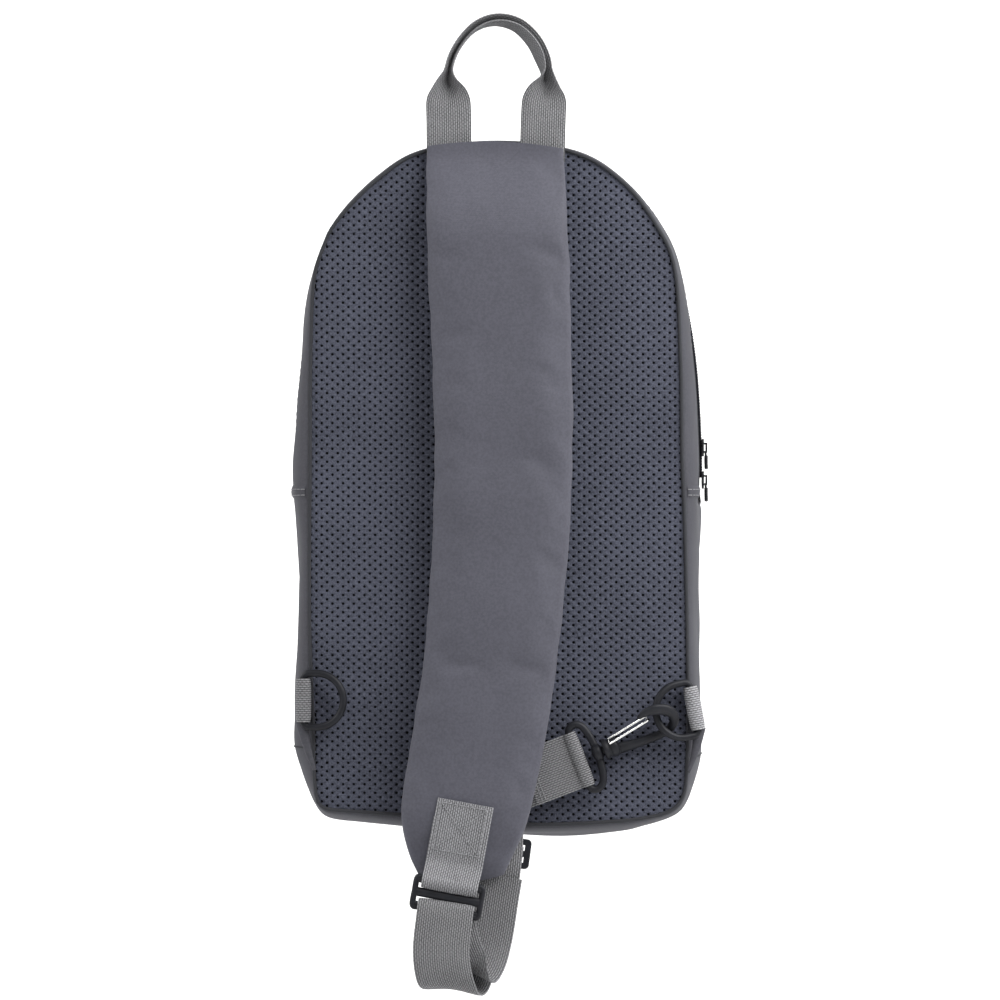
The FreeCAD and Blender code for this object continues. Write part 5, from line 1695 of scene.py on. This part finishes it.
# ---- adjuster -----------------------------------------------------------------------
@dataclass
class Adjuster:
    """The 25 mm webbing and buckles below the strap."""

    web: float = 25.0
    thick: float = 1.3
    fold: float = 2.75
    box_width: float = 20.5
    box_high: float = 21.0
    face: float = -20.1
    top: float = 35.4
    turn_y: float = -17.5
    turn_z: float = -408.0
    glide_lean: float = 7.6
    ring_half: float = 14.6
    ring_rail: float = 1.35
    bars: tuple = ((0.0, 1.25, 1.2), (5.3, 2.05, 0.72), (10.6, 1.25, 1.2))
    outer: tuple = ((-23.8, -26.4, -396), (-25.0, -26.8, -407), (-24.6, -26.2, -416), (-22.8, -23.6, -423),
                    (-19.4, -18.0, -426.4), (-15.8, -11.6, -423.4), (-13.0, -7.8, -415), (-9.6, -6.4, -403),
                    (-5.6, -6.2, -389), (-2.6, -6.2, -376), (-1.3, -6.2, -362), (-1.3, -6.2, -349))
    inner: tuple = ((-1.6, -7.9, -377), (-3.4, -8.0, -388), (-5.6, -8.4, -402), (-8.2, -10.2, -412.6),
                    (-11.6, -13.8, -418.4), (-15.4, -17.4, -417.2), (-19.2, -19.3, -410),
                    (-22.0, -20.0, -400), (-23.2, -20.3, -393.5))

    def ring_frame(self) -> tuple:
        """The end ring's place: its top bar's middle, the bar's direction and down the ring.

        Returns:
            The three, the first in millimetres.
        """
        swing = joint("end_ring_swing")
        pivot = np.array(swing["pos_m"]) / MM
        bar = unit(np.array(swing["axis"], float))
        down = np.array([bar[2], 0.0, -bar[0]])
        return pivot, bar, down

    def patch(self) -> None:
        """The patch sewn to the strap, folded round the end ring's top bar."""
        pivot, bar, down = self.ring_frame()
        turn = np.radians(np.linspace(150, -150, 22))
        loop = pivot + self.fold * arc(turn, down, TO_WEARER)
        up = -down
        lengths = np.array([37.0, 30.0, 22.0, 14.0, 9.0])

        def ply(depth: float) -> Points:
            """A ply's stations up the strap at one depth.

            Args:
                depth: Its depth, in millimetres.

            Returns:
                The stations.
            """
            line = pivot + lengths[:, None] * up
            line[:, 1] = depth
            return line

        front, back = ply(self.face - 1.15), ply(self.face + 0.15)[::-1][:4]
        front[:, 0] += 0.4
        path = spline(np.vstack([front, loop, back]).tolist(), 110)
        cloth = Cloth()
        cloth.ribbon(path, bar, self.web, self.thick, columns=16)
        top = pivot + up * self.top
        half = self.box_width / 2
        corners = [top - bar * half, top + bar * half, top + bar * half + down * self.box_high,
                   top - bar * half + down * self.box_high]
        lines = [(0, 1), (1, 2), (2, 3), (3, 0), (0, 2), (1, 3)]
        for a, b in lines:
            line = np.linspace(corners[a], corners[b], 24)
            line[:, 1] = self.face - 1.15 - self.thick / 2 - 0.12
            cloth.stitches(line, TO_WEARER, *PATCH_STITCH, slot=1)
        piece = cloth.make("strap_patch", [WEB_PALE, THREAD])
        settle(piece, "padded_strap", "webbing", "anchor_patch")

    def loops(self) -> None:
        """The slack webbing that hangs between the end ring and the tri-glide."""
        pivot, _, down = self.ring_frame()
        low_bar = pivot + down * self.bars[-1][0]
        turn = np.radians(np.linspace(-80, 80, 9))
        hook = low_bar + self.fold * arc(turn, -down, TO_WEARER)
        path = spline(list(self.inner) + hook.tolist() + list(self.outer), 260)
        lean = np.interp(path[:, 1], [-26, -6], [0.148, 0.12])
        across = np.stack([np.cos(lean), np.zeros(len(path)), -np.sin(lean)], axis=1)
        near_ring = np.flatnonzero((path[:, 1] < self.turn_y) & (path[:, 2] > self.turn_z))
        first, last = near_ring[0], near_ring[-1]
        travel = tangents(path)
        run = slice(first, last + 1)
        cloth = Cloth()
        cloth.ribbon(path[run], across[run], self.web, self.thick, columns=16, along=travel[run])
        piece = cloth.make("adjuster_turn", [WEB])
        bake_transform(piece)
        LOG.info("adjuster_turn bends between strap_end_ring and padded_strap")
        cloth = Cloth()
        for run in (slice(0, first + 1), slice(last, len(path))):
            cloth.ribbon(path[run], across[run], self.web, self.thick, columns=16, along=travel[run])
        piece = cloth.make("adjuster_loops", [WEB])
        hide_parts("adjuster_webbing")
        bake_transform(piece)
        LOG.info("adjuster_loops bend between padded_strap and bag_body")

    def ring(self) -> None:
        """The three-bar ring: softly rounded rails and a broad middle bar."""
        pivot, bar, down = self.ring_frame()
        half = self.ring_half
        cloth = Cloth()
        for side in (-1, 1):
            line = spline([pivot + bar * side * 12.2 - down * 1.3, pivot + bar * side * half - down * 0.9,
                           pivot + bar * side * (half + 0.2) + down * 5.3,
                           pivot + bar * side * half + down * 11.5,
                           pivot + bar * side * 12.2 + down * 11.9], 30)
            cloth.tube(line, self.ring_rail, sides=12, aspect=1.1)
        for drop, radius, depth in self.bars:
            line = np.linspace(pivot - bar * 14.2 + down * drop, pivot + bar * 14.2 + down * drop, 16)
            cloth.tube(line, radius, sides=14, aspect=depth)
        settle(cloth.make("end_ring", [PLASTIC]), "strap_end_ring", "black_plastic", "strap_end_ring")

    def glide_end(self) -> None:
        """The webbing's end, sewn round the tri-glide's middle bar."""
        low, high = (np.array(c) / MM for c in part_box("tri_glide"))
        middle = (low + high) / 2
        lean = math.radians(self.glide_lean)
        bar = unit(np.array([math.cos(lean), 0, -math.sin(lean)]))
        down = np.array([bar[2], 0.0, -bar[0]])
        turn = np.radians(np.linspace(20, 340, 24))
        loop = middle + self.fold * arc(turn, down, TO_WEARER)
        tail = middle + down * np.array([13.0, 8.0])[:, None] + TO_WEARER * 2.0
        ends = middle + down * np.array([7.0, 12.0])[:, None] + TO_WEARER * 0.6
        path = spline(np.vstack([tail, loop, ends]).tolist(), 70)
        cloth = Cloth()
        cloth.ribbon(path, bar, self.web, self.thick, columns=12)
        line = np.linspace(middle + down * 12 - bar * 11, middle + down * 12 + bar * 11, 20) + TO_WEARER * 2.9
        cloth.stitches(line, TO_WEARER, *SLEEVE_STITCH, slot=1)
        piece = cloth.make("glide_sleeve", [WEB, THREAD])
        settle(piece, "bag_body", "webbing", "adjuster_end")

    def build(self) -> None:
        """Make the adjuster."""
        self.patch()
        self.loops()
        self.glide_end()
        self.ring()
        dress("tri_glide", PLASTIC)


# ---- hook ---------------------------------------------------------------------------
@dataclass
class SnapHook:
    """The hook's webbing, its eye, its moulded body and its bright gate."""

    web: float = 25.0
    thick: float = 1.35
    setback: float = 12.0
    eye_fold: float = 2.6
    lead: float = 46.0
    swivel_bore: float = 2.1
    eye_wire: float = 1.7
    post: float = 1.85
    rise: tuple = ((-1.3, -6.2, -349.0), (-1.5, -6.1, -343), (-1.6, -6.0, -338), (-1.6, -6.0, -330))
    spine: tuple = ((2.0, -1.6, 2.2, 2.2), (6.0, -2.5, 3.1, 2.1), (12.0, -3.4, 2.8, 1.8),
                    (19.0, -3.9, 2.3, 1.8), (25.5, -3.8, 2.0, 1.9), (30.6, -2.4, 2.0, 2.0),
                    (33.9, 1.4, 2.1, 2.0), (34.1, 6.2, 2.4, 2.0), (31.3, 10.5, 2.85, 1.9),
                    (26.9, 12.7, 2.8, 1.7), (22.6, 12.7, 2.0, 1.4), (19.2, 11.4, 0.8, 0.8))
    collar: tuple = ((-0.1, 3.6), (0.0, 4.3), (0.5, 4.7), (1.6, 4.7), (2.2, 4.1), (3.0, 4.0), (3.6, 4.5),
                     (5.4, 4.6), (6.3, 4.2), (6.9, 2.9), (7.1, 1.0))
    eye_line: tuple = ((-12.0, 0.0), (-12.0, 6.0), (-12.0, 11.6), (-10.9, 14.4), (-8.0, 15.2),
                       (-5.4, 13.2), (-4.0, 9.0), (-3.3, 4.6), (-2.9, 0.0))
    hub_radii: tuple = (2.2, 3.1, 3.7, 3.9, 4.0, 4.0, 4.0, 4.0, 3.9, 3.7, 3.2, 2.6)

    def frame(self) -> tuple:
        """The swivel's place and directions: along the hook, towards its beak, and across.

        Returns:
            The four, the first in millimetres.
        """
        swivel = joint("hook_swivel")
        along = unit(np.array(swivel["axis"], float))
        across = -unit(np.array(joint("gate_press")["axis"], float))
        beak = np.cross(across, along)
        return np.array(swivel["pos_m"]) / MM, along, beak, across

    def webbing(self) -> None:
        """The doubled webbing from behind the strap to the eye, and its run from the tri-glide."""
        origin, along, _, _ = self.frame()
        wide = unit(np.cross(along, TO_FRONT))
        eye = origin - along * self.setback
        turn = np.radians(np.linspace(-165, 165, 20))
        loop = eye + self.eye_fold * arc(turn, along, TO_FRONT)
        back = [eye - along * d + TO_FRONT * (0.75 + 0.004 * d) for d in (9, 18, 28, 38, self.lead)]
        front = [eye - along * d - TO_FRONT * 0.72 for d in (24, 16, 9)]
        path = spline(front + loop.tolist() + back, 120)
        cloth = Cloth()
        cloth.ribbon(path, wide, self.web, self.thick, columns=16)
        for d in (20.0, 21.6):
            middle = eye - along * d
            line = np.linspace(middle - wide * 11.5, middle + wide * 11.5, 20) - TO_FRONT * 1.55
            cloth.stitches(line, -TO_FRONT, *LEAD_STITCH, slot=1)
        rise = spline(list(self.rise), 20)
        cloth.ribbon(rise, (1, 0, 0), self.web, self.thick, columns=12)
        piece = cloth.make("hook_lead", [WEB, THREAD])
        settle(piece, "bag_body", "webbing", "hook_webbing")

    def body(self) -> None:
        """The hook: a collar, a blade-like spine, a round nose and a crescent beak."""
        origin, along, beak, across = self.frame()

        def at(u: float, v: float) -> Points:
            """A point along the hook and towards its beak."""
            return origin + along * u + beak * v

        curve = spline(list(self.spine), 90)
        path = np.stack([at(u, v) for u, v in curve[:, :2]])
        cloth = Cloth()
        cloth.tube(path, curve[:, 2], sides=16, aspect=curve[:, 3] / curve[:, 2], up=across)
        bead = spline(list(self.collar), 40)
        path = np.stack([at(u, 0) for u in bead[:, 0]])
        turn = np.linspace(0, 2 * math.pi, 28, endpoint=False)
        circle = arc(turn, beak, across)[None]
        ring = path[:, None] + bead[:, 1][:, None, None] * circle
        cloth.grid(ring, wrap_columns=True, flip=True)
        inner = path[:1, None] + self.swivel_bore * circle
        cloth.grid(np.concatenate([inner, ring[:1]]), wrap_columns=True, flip=True)
        cloth.fan(ring[-1], path[-1], flip=True)
        piece = cloth.make("hook_moulding", [PLASTIC], sharp=60)
        settle(piece, "hook_body", "black_plastic", "hook_body")

    def eye(self) -> None:
        """The swivel eye: a bar in the webbing's fold and two rounded arms to the post."""
        origin, along, _, _ = self.frame()
        wide = unit(np.cross(along, TO_FRONT))
        cloth = Cloth()
        loop = [(u, w) for u, w in self.eye_line[:-1]] + [(u, -w) for u, w in self.eye_line[:0:-1]]
        curve = spline(loop, 120, closed=True)
        path = origin + curve[:, :1] * along + curve[:, 1:] * wide
        cloth.tube(path, self.eye_wire, sides=12, closed=True, aspect=0.95)
        hub = [origin + along * u for u in np.linspace(-5.2, -0.9, 12)]
        cloth.tube(np.array(hub), np.array(self.hub_radii), sides=20)
        post = [origin + along * u for u in (-1.0, 0.5, 2.0)]
        cloth.tube(np.array(post), self.post, sides=14)
        settle(cloth.make("swivel_eye", [PLASTIC]), "bag_body", "black_plastic", "hook_eye")

    def build(self) -> None:
        """Make the hook."""
        self.webbing()
        self.body()
        self.eye()
        dress("wire_gate", WIRE)


# ---- studio -------------------------------------------------------------------------
@dataclass
class StudioSet:
    """A pale floor and backdrop, soft light and a long-lens camera square to the panel."""

    distance: float = 3.0
    width: float = 0.445
    middle: tuple = (0.0009, -0.2105)
    floor_z: float = -0.95
    paper: tuple = (7.0, 6.5, 6.0, 0.9)
    paper_near: float = 6.0
    air_span: tuple = (-0.7, 0.9, 0.02, 0.40)

    def backdrop(self) -> None:
        """The paper sweep: a floor that curves up behind."""
        half, depth, high, bend = self.paper
        turn = np.linspace(0, math.pi / 2, 12)
        flat = depth - bend
        profile = [(-self.paper_near, self.floor_z), (flat, self.floor_z)]
        profile += [(flat + bend * math.sin(a), self.floor_z + bend * (1 - math.cos(a))) for a in turn[1:]]
        profile += [(depth, high)]
        rows = np.array([[(x, y, z) for x in (-half, half)] for y, z in profile]) / MM
        cloth = Cloth()
        cloth.grid(rows, flip=True)
        cloth.make("paper_sweep", [Studio()])

    def light(self, name: str, place: tuple, size: float, power: float, aim: tuple = (0, 0, -0.2)) -> None:
        """A soft square light.

        Args:
            name: Its name.
            place: Where it stands, in metres.
            size: Its side, in metres.
            power: Watts.
            aim: What it points at.
        """
        lamp = bpy.data.lights.new(name, "AREA")
        lamp.energy, lamp.size = power, size
        holder = bpy.data.objects.new(name, lamp)
        holder.location = place
        holder.rotation_euler = (Vector(aim) - Vector(place)).to_track_quat("-Z", "Y").to_euler()
        bpy.context.scene.collection.objects.link(holder)

    def air(self) -> None:
        """Soft light from all round, stronger from above than from below."""
        world = bpy.data.worlds.new("studio_air")
        world.use_nodes = True
        nodes, links = world.node_tree.nodes, world.node_tree.links
        place = nodes.new("ShaderNodeTexCoord")
        part = nodes.new("ShaderNodeSeparateXYZ")
        span = nodes.new("ShaderNodeMapRange")
        for socket, value in zip(span.inputs[1:5], self.air_span):
            socket.default_value = value
        links.new(place.outputs["Generated"], part.inputs[0])
        links.new(part.outputs["Z"], span.inputs[0])
        links.new(span.outputs[0], nodes["Background"].inputs[1])
        nodes["Background"].inputs[0].default_value = (1, 1, 1, 1)
        bpy.context.scene.world = world

    def build(self) -> None:
        """Set the stage."""
        self.backdrop()
        self.light("key_above", (0.52, -0.62, 0.42), 0.6, 10.2, (0.04, 0, -0.12))
        self.light("fill_left", (-1.6, -1.6, 0.7), 1.4, 3.5)
        self.light("side_left", (-2.4, -0.4, 1.2), 1.6, 60)
        self.light("side_right", (2.4, -0.4, 1.2), 1.6, 72)
        self.light("paper_left", (-2.4, 2.5, 1.6), 1.6, 155, (-0.6, 6.5, 0.0))
        self.light("paper_right", (2.4, 2.5, 1.6), 1.6, 155, (0.6, 6.5, 0.0))
        self.air()
        camera = bpy.data.cameras.new("camera")
        camera.sensor_width = 36.0
        camera.lens = camera.sensor_width * self.distance / self.width
        camera.clip_end = 50
        holder = bpy.data.objects.new("camera", camera)
        holder.location = (self.middle[0], -self.distance, self.middle[1])
        holder.rotation_euler = (math.pi / 2, 0, 0)
        bpy.context.scene.collection.objects.link(holder)
        bpy.context.scene.camera = holder
        bpy.context.scene.view_settings.view_transform = "Standard"


def main() -> None:
    """Build the bag in order and report each piece."""
    logging.basicConfig(level=logging.INFO, format="%(name)s: %(message)s")
    StudioSet().build()
    for part in (BackPanel(), Shell(), Zips(), Pocket(), PaddedStrap(), Handle(), RingTabs(), Adjuster(),
                 SnapHook()):
        part.build()
        LOG.info("%s done", type(part).__name__)


if __name__ == "__main__":
    main()
